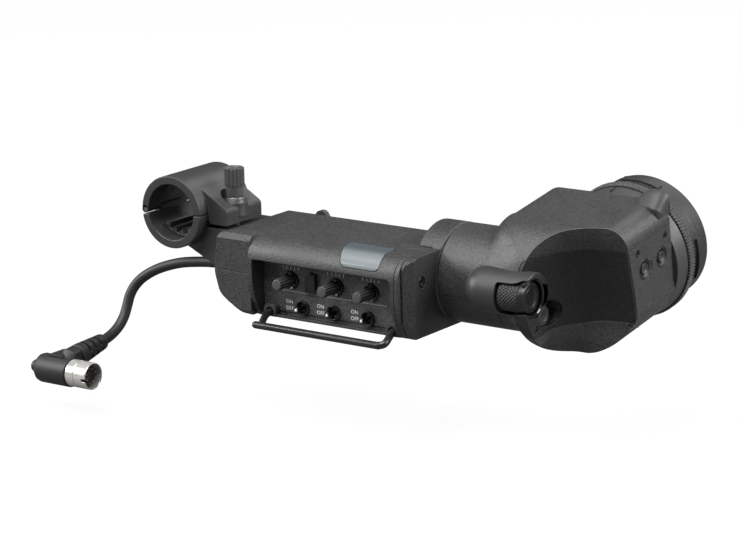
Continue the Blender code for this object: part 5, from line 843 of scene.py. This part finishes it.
def pod_pieces():
    quarter = [pi / 2 * k / 14 for k in range(14)]
    profile = [(0, 50.4), (9.7, 50.4), (10.2, 49.9)]
    profile += [(10.2 * cos(turn) ** 0.9, 25.4 - 10.0 * sin(turn)) for turn in quarter]
    profile.append((0, 15.4))
    pod = revolved(profile, POD_AT, "x", 128)
    cut(pod, rod(8.1, 35.4, 54.0, DIAL_AT, "x", 96))
    window = rounded_outline([(35.2, -4.3), (44.6, -4.6), (48.2, -6.6), (53, -6.8), (53, 12.4),
                              (48.0, 12.2), (44.2, 10.8), (35.2, 10.6)],
                             [1.3, 1.6, 1.4, 0.1, 0.1, 1.4, 1.6, 1.3], 6)
    cut(pod, prism(window, -34, -22.6, "y"))
    piece(bevelled(pod, 0.45, 4, 35), "pod", "head", "dial_pod", "dial_pod")
    collar = revolved([(7.85, 47.6), (7.85, 50.5), (8.3, 50.9), (8.75, 50.9), (9.1, 50.5), (9.1, 50.0),
                       (8.2, 47.6)], DIAL_AT, "x", 96, closed=True)
    opening = rounded_outline([(45, -9), (53, -9), (53, 15), (45, 15)], 0.5, 3)
    cut(collar, prism(opening, -40, -27.0, "y"))
    piece(collar, "dial_collar", "head", "dial_pod", look="gloss_black")
    drum = knurled(radius=7.2, depth=0.6, low=36.3, high=46.6, around=26, along=6)
    piece(drum, "dial_drum", "menu_dial", "menu_dial", "menu_dial", sharp=24)
    end = revolved(
        [(0, 49.2), (2.6, 49.25), (3.9, 49.45), (4.4, 49.7), (4.7, 49.55), (5.0, 49.75), (6.2, 49.75),
         (6.75, 49.4), (6.95, 48.9), (6.95, 46.7), (0, 46.7)], DIAL_AT, "x", 96)
    piece(end, "dial_cap", "menu_dial", "menu_dial", look="dial_cap")
    piece(rod(1.2, 33.4, 36.4, DIAL_AT, "x", 32), "dial_axle", "menu_dial", "menu_dial", look="steel")
    key = revolved(
        [(0, 50.0), (1.5, 50.05), (2.3, 50.3), (2.75, 50.55), (3.1, 50.5), (3.9, 50.5), (4.35, 50.3),
         (4.6, 49.95), (4.6, 46.4), (0, 46.4)], MENU_AT, "x", 72)
    piece(key, "menu_key", "menu_button", "button", "menu_button")


# Body
TOP, BOTTOM, REAR, FRONT = 13.9, -23.0, 9.6, -44.5
LEFT, RIGHT = -88.9, -5.9
ROUND = 10.7
CORNER = (FRONT + ROUND, TOP - ROUND)
FACE = -35.4
KNOBS = (("peaking", -71.2), ("contrast", -46.1), ("brightness", -26.8))
TOGGLES = (("display", -64.9), ("zebra", -47.6), ("tally", -28.7))
KNOB_LEVEL, TOGGLE_LEVEL = -5.4, -17.6
FEET = (-81.2, -13.5)
FOOT_LEVEL = -20.5
REAR_SCREW_AT = (-87.2, 12.4)
WINDOW_BACK, WINDOW_FOOT = -27.2, 7.0
WINDOW_ROUNDS = {"tl": 3.4, "bl": 2.6, "tr": 1.2, "br": 3.0}


def body_section():
    tuck = [(FRONT + 6.5 * (k / 12) ** 2, -3.2 - 19.8 * k / 12) for k in range(13)]
    return [(REAR, BOTTOM), (REAR, TOP), *arc(CORNER, ROUND, pi / 2, pi, 24), *tuck[1:]]


def inward(near, corner):
    """How far an edge stands in, near a rounded corner."""
    radius = WINDOW_ROUNDS[corner]
    if near >= radius:
        return 0.0
    return radius - (radius ** 2 - (radius - max(near, 0.0)) ** 2) ** 0.5


def window_patch(grow, outer, inner):
    """The tally window's skin, wrapped over the flat top and the round front edge."""
    flat = WINDOW_BACK - CORNER[0]
    length = flat + ROUND * acos((WINDOW_FOOT - CORNER[1]) / ROUND)
    rows, columns = 40, 24

    def spot_at(x, run, reach):
        if run < flat:
            return (x, WINDOW_BACK - run, CORNER[1] + reach)
        turn = (run - flat) / ROUND
        return (x, CORNER[0] - reach * sin(turn), CORNER[1] + reach * cos(turn))

    skins = ([], [])
    for row in range(rows + 1):
        share = 0.5 - 0.5 * cos(pi * row / rows)
        s = length * share
        left = -43.7 + 6.4 * share + max(inward(s, "tl"), inward(length - s, "bl")) - grow
        right = -18.75 + 2.15 * share - max(inward(s, "tr"), inward(length - s, "br")) + grow
        run = s - grow + 2 * grow * share
        across = [left + (right - left) * k / columns for k in range(columns + 1)]
        for skin, reach in zip(skins, (outer, inner)):
            skin.append([spot_at(x, run, reach) for x in across])
    return slab(*skins)


def section_groove(low, high, depth, start, end):
    """A groove across the section, along the skin between two of its points."""
    outer = body_section()[start:end]
    above = [(y - 1.0, z + 0.6) for y, z in outer]
    sunk = [(y + depth * 0.8, z - depth * 0.5) for y, z in outer]
    return prism(above + sunk[::-1], low, high, "x")


def foot_outline(x, low, half, top_half, top, round_top):
    """A small arch round the foot of the guard bar."""
    return rounded_outline([(x - half, low), (x + half, low), (x + top_half, top), (x - top_half, top)],
                           [0.2, 0.2, round_top, round_top], 8)


def body_pieces():
    shell = prism(body_section(), LEFT, RIGHT, "x")
    recess = rounded_outline([(-86.6, -30), (-10.0, -30), (-10.0, 4.3), (-86.6, 4.3)],
                             [0.1, 0.1, 3.2, 1.2], 8)
    cut(shell, prism(recess, -60, -35.1, "y"), box((-95, -35.1, -20.8), (0, 12, 11.7)),
        window_patch(0.15, 12.0, 8.0), box((-36.5, -39.9, 7.8), (-19.5, -30, 11.2)))
    for x in FEET:
        fused(shell, prism(foot_outline(x, -22.9, 3.5, 3.3, -17.2, 2.6), -38.9, -34.0, "y"))
    fused(shell, box((-87.5, -38.4, BOTTOM), (-9.0, -33.0, -21.9)))
    for x in FEET:
        cut(shell, rod(2.0, -60, -36.6, (x, FOOT_LEVEL), "y", 40))
    cut(shell, section_groove(-8.35, -8.0, 0.5, 12, 60))
    piece(shell, "shell_body", "body", "charcoal_shell", "body_shell")
    piece(window_patch(-0.1, 10.75, 8.3), "window", "body", "tally_window", "tally_window")


def marked(text, size, x, z):
    """Plain lettering, printed on the panel's face."""
    curve = bpy.data.curves.new("mark", "FONT")
    curve.body = text
    curve.size = size
    curve.align_x = "CENTER"
    curve.align_y = "CENTER"
    curve.extrude = 0.03
    curve.resolution_u = 3
    letters = linked(curve)
    mesh = bpy.data.meshes.new_from_object(letters)
    bpy.data.objects.remove(letters)
    mesh.transform(Matrix.Translation((x, FACE - 0.02, z)) @ Matrix.Rotation(pi / 2, 4, "X"))
    return linked(mesh)


def panel_marks():
    labels = []
    for number, (_, x) in enumerate(KNOBS, 1):
        labels.append(marked(str(number), 2.6, x, 0.3))
        for k in (-2, -1, 1, 2):
            tick = x + k * 2.2
            labels.append(box((tick - 0.17, FACE - 0.05, -0.5), (tick + 0.17, FACE + 0.05, 1.1)))
    for _, x in TOGGLES:
        labels.append(marked("ON", 2.5, x - 7.4, TOGGLE_LEVEL + 1.9))
        labels.append(marked("OFF", 2.5, x - 7.4, TOGGLE_LEVEL - 1.1))
    return joined(*labels)


def panel_pieces():
    panel = prism([(-88.6, -20.5), (-6.2, -20.5), (-6.2, 7.3), (-88.6, 7.3)], FACE, FACE + 2.0, "y")
    cut(panel, *[rod(4.3, FACE - 1, FACE + 3, (x, KNOB_LEVEL), "y", 56) for _, x in KNOBS],
        *[rod(2.5, FACE - 1, FACE + 3, (x, TOGGLE_LEVEL), "y", 40) for _, x in TOGGLES])
    piece(panel, "panel_plate", "body", "control_panel", "control_panel")
    for name, x in KNOBS:
        bush = revolved(
            [(4.15, -35.3), (4.0, -36.2), (3.75, -36.45), (3.45, -36.3), (3.2, -35.6), (3.1, -34.6),
             (1.7, -34.6), (1.7, -33.5), (4.15, -33.5)], (x, KNOB_LEVEL), "y", 64, closed=True)
        piece(bush, f"{name}_bush", "body", "control_panel", look="gloss_black")
        knob = fluted(
            [(0.0, -46.55), (2.0, -46.6), (2.35, -46.5), (2.62, -46.2), (2.7, -45.8), (2.7, -36.0),
             (2.6, -35.6), (1.75, -35.6), (1.75, -40.0), (0.0, -40.0)],
            (x, KNOB_LEVEL), "y", flutes=14, depth=0.42, roundness=0.6, limit=2.5)
        piece(knob, f"{name}_fluted", f"{name}_knob", "knob", f"{name}_knob", sharp=50)
    for name, x in TOGGLES:
        place = (x, TOGGLE_LEVEL)
        ring = revolved(
            [(3.7, -35.2), (3.6, -36.1), (3.3, -36.5), (2.9, -36.4), (2.55, -35.9), (2.35, -34.8),
             (2.35, -33.5), (3.7, -33.5)], place, "y", 56, closed=True)
        piece(ring, f"{name}_ring", "body", "control_panel", look="gloss_black")
        lever = revolved(
            [(0, -40.9), (0.85, -40.8), (1.2, -40.4), (1.25, -39.9), (1.05, -38.4), (0.85, -36.0),
             (0.8, -34.0), (0, -34.0)], place, "y", 40)
        piece(lever, f"{name}_lever", f"{name}_toggle", "toggle_lever", f"{name}_toggle")
        # A small white cap on the lever's end, in the same white as the panel's print.
        tip = revolved([(0, -41.05), (0.5, -41.0), (0.7, -40.85), (0.65, -40.6), (0, -40.6)],
                       place, "y", 32)
        piece(tip, f"{name}_tip", f"{name}_toggle", "toggle_lever", look="white_print")
    hood = rounded_outline([(-62.4, -9.6), (-58.4, -9.6), (-56.8, -8.4), (-56.8, -0.6), (-57.9, -1.4),
                            (-58.8, -0.4), (-60.2, -0.4), (-61.1, -1.6), (-62.4, -2.2)], 0.25, 3)
    hood = cut(prism(hood, -37.1, -34.6, "y"), box((-61.6, -36.9, -9.0), (-57.6, -36.0, -2.4)))
    piece(bevelled(hood, 0.18, 2, 40), "sensor_hood", "body", "control_panel", look="hood")
    line = fused(box((-76, -35.45, -10.8), (-75.7, -35.3, -10.5)),
                 box((-75.9, -35.45, -10.8), (-18.0, -35.3, -10.45)))
    piece(line, "panel_line", "body", "control_panel", look="grey_print")
    piece(panel_marks(), "panel_marks", "body", "control_panel", look="white_print")
    step_piece()


def step_piece():
    """A raised line along the panel's foot that runs round the two bosses."""
    route = [(-86.4, -14.8), (-83.2, -14.6), (-79.2, -14.8), (-76.6, -16.4), (-75.0, -19.2),
             (-73.0, -20.6), (-22.0, -20.6), (-20.0, -19.2), (-18.4, -16.4), (-15.8, -14.8),
             (-10.2, -14.6)]
    line = rounded_outline(route, [0.1, 1, 3, 2, 1, 1, 1, 1, 2, 3, 0.1], 6)
    skirt = prism(line + [(-10.2, -24.0), (-86.4, -24.0)], FACE - 0.75, FACE - 0.02, "y")
    for x in FEET:
        cut(skirt, prism(foot_outline(x, -26, 3.7, 3.5, -17.0, 2.7), -45, -30, "y"))
    for _, x in TOGGLES:
        cut(skirt, rod(4.2, -45, -30, (x, TOGGLE_LEVEL), "y", 48))
    kept(skirt, box((-86.5, -40, -21.8), (-10.1, -30, -10)))
    piece(skirt, "panel_skirt", "body", "control_panel")


def rear_knob():
    """The small turned head at the rear corner."""
    knob = revolved(
        [(0, 12.2), (1.5, 12.2), (1.75, 12.6), (3.0, 12.85), (3.5, 12.5), (3.5, 11.2), (3.15, 11.0),
         (3.15, 10.6), (3.5, 10.4), (3.5, 9.9), (0, 9.9)], REAR_SCREW_AT, "y", 64)
    cut(knob, box((-88.9, 11.9, 12.1), (-85.5, 13.2, 12.7)))
    piece(bevelled(knob, 0.12, 2, 35), "rear_knob", "body", "black_screw", "rear_screw", look="button")


def end_seam():
    """The dark parting line that runs round the right end plate."""
    outline = [(-5.6, -42.24), (-4.9, -42.24), (-1.06, -38.42), (-1.06, 9.3), (-1.3, 9.3),
               (-1.3, -38.2), (-5.0, -41.9), (-5.6, -41.9)]
    piece(prism(outline, -3.57, -3.33, "z"), "end_seam", "body", "end_plate", look="rubber")


def guard_piece():
    """The guard bar: a straight run that turns back into its right foot, a stub at its left."""
    main = [(-81.4, -49.4, -24.6), (-60, -49.4, -24.6), (-18, -49.4, -24.6), (-13.6, -49.4, -24.5),
            (-11.4, -48.6, -24.0), (-10.9, -46.9, -23.2), (-11.6, -43.4, -21.8), (-13.5, -37.2, -20.5)]
    left = [(-81.2, -37.2, -20.5), (-80.8, -42.5, -21.7), (-79.6, -46.5, -23.4), (-78.2, -49.3, -24.5)]
    bar = fused(tube(catmull(main, 10), 1.7, 28), ball(1.7, main[0], 14))
    fused(bar, tube(catmull(left, 8), 1.62, 28))
    piece(bar, "guard_rail", "body", "guard_bar", "guard_bar")


def cap_piece():
    """The left end cap, with a lip that stands proud of its front."""
    lip = rounded_outline([(-89.2, -21.2), (-95.7, -21.0), (-101.4, -18.6), (-105.9, -15.4),
                           (-107.4, -13.4), (-110.0, -4.4), (-107.5, TOP), (-89.2, TOP)],
                          [0.3, 2, 2, 2, 2, 3, 2.2, 0.3], 8)
    main = rounded_outline([(-89.2, BOTTOM), (-95.6, -22.6), (-100.9, -19.9), (-106.6, -15.3),
                            (-106.6, TOP), (-89.2, TOP)], [0.1, 2, 2, 2, 1, 0.1], 6)
    cap = fused(prism(main, -41.0, REAR, "y"), prism(lip, -42.3, -35.7, "y"))
    wedge = prism([(-44, 11.6), (-42.35, 11.6), (-40.0, 13.95), (-40.0, 15), (-44, 15)],
                  -112, -88, "x")
    cut(cap, wedge, box((-102.4, -38.4, -17.8), (-80, 7.4, 11.7)),
        rod(3.2, -110, -100, (-16.1, -9.0), "x", 40),
        box((-112, -43, -3.58), (-88, -42.0, -3.32)), box((-112, -43, -3.58), (-109.9, -34, -3.32)))
    piece(bevelled(cap, 0.55, 3, 38), "cap_left", "body", "charcoal_shell", "left_cap")


# Rail clamp
CLAMP, PIN, SCREW_AT = (-134.6, 19.8), (-149.7, 19.8), (-111.8, -23.0)
TUBE_OUTER, BORE = 17.0, 13.07
GRIP_OUTER, GRIP_INNER, GRIP_SPAN = 12.8, 11.9, radians(54)
SPLIT, HINGE_GAP = 0.0088, 0.152


def clamp_half(start, end):
    outline = arc(CLAMP, TUBE_OUTER, start, end, 80) + arc(CLAMP, BORE, end, start, 80)
    return bevelled(prism(outline, -42.3, -4.8, "y"), 0.5, 3, 50)


def grip_strip(middle, teeth, depth):
    outline = arc(CLAMP, GRIP_OUTER, middle - GRIP_SPAN, middle + GRIP_SPAN, 48)
    for k in range(teeth * 4 + 1):
        reach = GRIP_INNER - (depth if k % 4 == 2 else 0.0)
        outline.append(on_circle(CLAMP, reach, middle + GRIP_SPAN * (1 - k / (teeth * 2))))
    return bevelled(prism(outline, -34.5, -10.0, "y"), 0.2, 2, 50)


def arm_piece():
    web = rounded_outline([(-132.4, 4.0), (-115.9, -3.8), (-107.0, -5.0), (-107.0, 13.2),
                           (-122.5, 13.2)], [0.5, 5.0, 0.2, 0.2, 0.2], 8)
    arm = clamp_half(pi + HINGE_GAP, 2 * pi - SPLIT)
    fused(arm, bevelled(prism(web, -35.4, -1.6, "y"), 0.6, 3, 50), rod(1.8, -33.0, -14.1, PIN, "y", 40),
          box((-151.5, -33.0, 16.2), (-147.9, -14.1, 19.8)))
    cut(arm, rod(BORE, -50, 5, CLAMP, "y", 160), rod(2.2, 5.7, 20.0, SCREW_AT, "z", 40),
        rod(1.0, -50, 5, PIN, "y", 32))
    piece(arm, "arm_casting", "body", "clamp_casting", "clamp_arm")


def jaw_piece():
    """The upper half of the tube, with the flange, the screw's pad and a cast ridge."""
    flange = rounded_outline([(-117.3, 15.0), (-107.0, 15.0), (-107.0, 22.3), (-122.9, 31.7),
                              (-120.9, 20.1), (-117.3, 20.1)], [0.2, 0.3, 1.6, 0.6, 0.1, 0.1], 6)
    flange = bevelled(prism(flange, -35.4, -9.6, "y"), 0.9, 4, 50)
    cut(flange, box((-134.6, -37.0, 14.0), (-117.3, -8.0, 20.1)))
    pad = rod(5.9, 20.0, 24.0, SCREW_AT, "z", 64)
    cone = revolved([(0, 18.0), (6.4, 18.0), (5.6, 23.6), (4.7, 25.5), (4.4, 25.7), (0, 25.7)],
                    SCREW_AT, "z", 64)
    cut(flange, rod(6.6, 24.6, 60.0, SCREW_AT, "z", 64))
    ridge = [(-122.6, -35.0, 31.3), (-119.6, -35.2, 27.2), (-117.9, -35.2, 22.4), (-117.2, -35.2, 16.2)]
    jaw = clamp_half(SPLIT, pi)
    fused(jaw, flange, pad, cone, tube(catmull(ridge, 8), 0.55, 12))
    fused(jaw, rod(1.8, -42.3, -33.3, PIN, "y", 40), rod(1.8, -13.8, -4.8, PIN, "y", 40))
    cut(jaw, rod(2.4, -33.3, -13.8, PIN, "y", 40), rod(1.0, -50, 5, PIN, "y", 32),
        rod(BORE, -50, 5, CLAMP, "y", 160), rod(2.9, 10, 40, SCREW_AT, "z", 48),
        box((-120.0, -37.0, 13.0), (-100, -8, 15.0)))
    piece(jaw, "jaw_casting", "jaw", "clamp_casting", "clamp_jaw")


def clamp_pieces():
    arm_piece()
    jaw_piece()
    piece(grip_strip(-pi / 2, 5, 2.6), "lower_teeth", "body", "clamp_grip", "lower_grip")
    piece(grip_strip(pi / 2, 4, 1.4), "upper_teeth", "jaw", "clamp_grip", "upper_grip")
    screw = fluted([(0, 39.4), (3.2, 39.4), (3.6, 39.7), (3.9, 40.2), (4.3, 40.1), (4.7, 39.7),
                    (4.7, 32.0), (4.4, 31.5), (4.05, 31.2), (4.0, 27.0), (3.8, 26.6), (1.9, 26.6),
                    (1.9, 6.4), (1.5, 6.0), (0, 6.0)], SCREW_AT, "z", flutes=18, depth=0.55,
                   roundness=0.7, limit=4.2)
    piece(screw, "clamp_screw", "thumbscrew", "thumbscrew", "thumbscrew", sharp=45)


# Eyepiece
MARK_TURN = radians(96)


def ribbed(radius, depth, low, high, inner, count):
    """A ring with fine straight ribs all round."""
    steps = count * 6
    turns = [2 * pi * k / steps for k in range(steps)]
    rings = []
    for height, drop in ((low, 0.5), (low + 0.35, 0.0), (high - 0.35, 0.0), (high, 0.5)):
        ring = []
        for k, turn in enumerate(turns):
            rib = 0.0 if k % 6 in (1, 2, 3) else depth
            ring.append(on_circle(EYE, radius - drop - rib * (0.3 if drop else 1), turn))
        rings.append([spot("y", a, b, height) for a, b in ring])
    for height in (high, low):
        rings.append([spot("y", *on_circle(EYE, inner, turn), height) for turn in turns])
    return skinned(rings, closed=True)


def eyepiece_pieces():
    base = revolved(
        [(26.8, 52.5), (26.8, 48.0), (30.2, 48.0), (30.75, 47.6), (30.6, 46.6), (29.95, 39.95),
         (24.3, 39.95), (24.3, 36.95), (22.8, 36.95), (22.8, 52.5)], EYE, "y", 160, closed=True)
    notch = box((-0.22, 42.6, -1.2), (0.22, 48.5, 1.2))
    across, up = on_circle(EYE, 30.2, MARK_TURN)
    notch.data.transform(Matrix.Translation((across, 0, up)) @ Matrix.Rotation(pi / 2 - MARK_TURN, 4, "Y"))
    mark = kept(duplicate(notch), rod(30.9, 30, 60, EYE, "y", 160))
    cut(mark, rod(29.6, 30, 60, EYE, "y", 160))
    cut(base, notch)
    piece(base, "eye_base", "head", "eyepiece_base", "eyepiece_base")
    piece(mark, "index_mark", "head", "eyepiece_base", look="gloss_black")
    ribs = ribbed(radius=31.9, depth=0.5, low=48.2, high=52.5, inner=27.1, count=132)
    piece(ribs, "focus_ribs", "focus_ring", "focus_ring", "focus_ring", sharp=25)
    lock = revolved(
        [(30.0, 60.7), (30.0, 58.4), (29.75, 58.2), (29.75, 57.9), (30.0, 57.7), (30.0, 53.2),
         (29.6, 52.8), (27.5, 52.8), (27.5, 61.0), (29.7, 61.0)], EYE, "y", 160, closed=True)
    for middle in (84, -6):
        start, end = radians(middle - 18), radians(middle + 18)
        tab = arc(EYE, 31.35, start, end, 30) + arc(EYE, 28.6, end, start, 30)
        fused(lock, prism(tab, 56.9, 60.9, "y"))
    piece(bevelled(lock, 0.22, 2, 35), "lock_collar", "lock_ring", "eyepiece_ring", "lock_ring")
    flange = revolved(
        [(29.0, 67.74), (29.45, 67.5), (29.6, 67.0), (29.6, 61.6), (29.3, 61.3), (27.2, 61.3),
         (27.2, 52.8), (22.8, 52.8), (22.8, 63.8), (20.5, 65.6), (20.5, 67.4), (20.9, 67.74)],
        EYE, "y", 144, closed=True)
    piece(flange, "eye_flange", "head", "eyepiece_ring", "eyepiece_ring")


# Cord and plug
CORD_ROUTE = (
    (-113.2, -16.1, -9.0), (-122.0, -16.1, -8.9), (-131.0, -16.1, -9.0), (-139.5, -16.1, -9.8),
    (-151.5, -16.3, -11.8), (-163.3, -17.0, -15.7), (-171.5, -18.2, -20.2), (-176.0, -20.0, -24.6),
    (-178.0, -22.2, -29.3), (-178.4, -24.3, -34.3), (-178.3, -27.2, -39.2), (-178.3, -31.4, -43.2),
    (-178.3, -37.0, -46.0), (-178.3, -43.2, -47.6),
)
CORD_RADIUS = 2.5
RELIEF_LENGTH, RELIEF_DROP, RELIEF_GAP = 19.0, 2.7, 0.3
PLUG = (-70.0, -56.0)


def cord_frame(start):
    """Turns shapes made along Z so that they run on from the cord's end."""
    along = Vector((0, -RELIEF_LENGTH, -RELIEF_DROP)).normalized()
    turn = along.to_track_quat("Z", "Y").to_matrix().to_4x4()
    return Matrix.Translation(Vector(CORD_ROUTE[-1]) + along * start) @ turn


def relief_piece():
    """The strain relief: a tapered sleeve with three pairs of slots, each pair staggered."""
    profile = [(0, 19.0), (4.9, 19.0), (5.3, 18.6), (5.25, 16.4), (3.9, 1.0), (3.7, 0.4), (3.2, 0.0),
               (0, 0)]
    relief = revolved(profile, (0, 0), "z", 56)
    for k in range(3):
        for low, high, lift in ((-9, -0.7, 0.0), (0.7, 9, 1.0)):
            start = 3.6 + k * 4.3 + lift
            slot = cut(box((-9, low, start), (9, high, start + 1.5)),
                       rod(2.9, start - 1, start + 3, (0, 0), "z", 32))
            cut(relief, slot)
    relief.data.transform(cord_frame(RELIEF_GAP))
    return piece(relief, "relief", "body", "cable_jacket", "strain_relief")


def plug_pieces():
    profile = [(0, -174.2), (6.6, -174.2), (7.0, -174.6), (7.0, -191.4), (6.6, -192.8), (5.7, -193.8),
               (4.6, -194.3), (3.1, -194.5), (2.9, -194.9), (2.9, -197.6), (2.4, -198.3), (0, -198.5)]
    plug = revolved(profile, PLUG, "x", 80)
    collar = revolved([(0, 10.6), (5.3, 5.3), (5.3, 0.4), (4.9, 0), (0, 0)], (0, 0), "z", 56)
    collar.data.transform(cord_frame(RELIEF_LENGTH + 2 * RELIEF_GAP))
    cut(collar, box((-174.2, -90, -70), (-150, -40, -40)))
    top = rounded_outline([(-190.0, -56.0), (-178.6, -56.0), (-178.0, -47.9), (-187.2, -47.8)],
                          [0.3, 0.3, 1.6, 2.2], 5)
    fused(plug, collar, prism(top, -73.0, -62.6, "y"))
    shell = revolved(
        [(6.4, -162.1), (6.4, -168.6), (6.15, -168.8), (6.15, -169.2), (6.4, -169.4), (6.4, -173.9),
         (5.8, -173.9), (5.8, -162.0), (6.0, -161.7), (6.25, -161.8)], PLUG, "x", 96, closed=True)
    cut(shell, box((-164.3, -78, -57.6), (-160, -70, -56.0)))
    insert = revolved(
        [(0, -165.9), (1.0, -165.8), (5.0, -165.8), (5.1, -165.4), (5.5, -165.4), (5.5, -173.9),
         (0, -173.9)], PLUG, "x", 72)
    pins = []
    for k in range(7):
        turn = 2 * pi * (k + 0.5) / 8
        place = (PLUG[0] + 3.2 * sin(turn), PLUG[1] + 3.2 * cos(turn))
        pins.append(revolved([(0, -162.6), (0.25, -162.75), (0.4, -163.1), (0.4, -166.0), (0, -166.0)],
                             place, "x", 20))
    return (
        piece(bevelled(plug, 0.4, 2, 40), "plug_moulding", "body", "cable_jacket", "plug_body"),
        piece(shell, "nickel_shell", "body", "nickel", "plug_shell"),
        piece(insert, "contact_block", "body", "plug_insert", "plug_insert"),
        piece(joined(*pins), "contacts", "body", "plug_insert", look="steel"),
    )


def cord_pieces():
    others = (relief_piece(), *plug_pieces())
    gland = revolved([(0, 6.0), (2.5, 6.0), (2.9, 5.6), (3.2, 3.0), (3.5, 1.2), (3.5, 0.0), (0, 0)],
                     (0, 0), "z", 48)
    gland.data.transform(Matrix.Translation((-106.9, CORD_ROUTE[0][1], CORD_ROUTE[0][2]))
                         @ Matrix.Rotation(-pi / 2, 4, "Y"))
    piece(gland, "cord_sleeve", "body", "cable_jacket", "cord_gland")
    route = catmull(CORD_ROUTE, 5)
    line = piece(tube(route, CORD_RADIUS, 32), "cable", "body", "cable_jacket", "cord")


bpy.context.scene.view_settings.view_transform = "Standard"
make_camera()
for light in LIGHTS:
    make_light(*light)
make_world()
make_floor()

looks = {name: material(name, colour, roughness, **more)
         for name, (colour, roughness, more) in LOOKS.items()}
band(looks["tally_window"])

body_pieces()
panel_pieces()
rear_knob()
end_seam()
guard_piece()
clamp_pieces()
cap_piece()
eyepiece_pieces()
cord_pieces()
rim_piece()
head_pieces()
side_pieces()
catch_piece()
pod_pieces()

slot_of = {row["node"]: row["material_slot"] for row in frame["record"]["subparts"]}
for name, item in frame["nodes"].items():
    item.data.materials.clear()
    item.data.materials.append(looks[slot_of[name]])
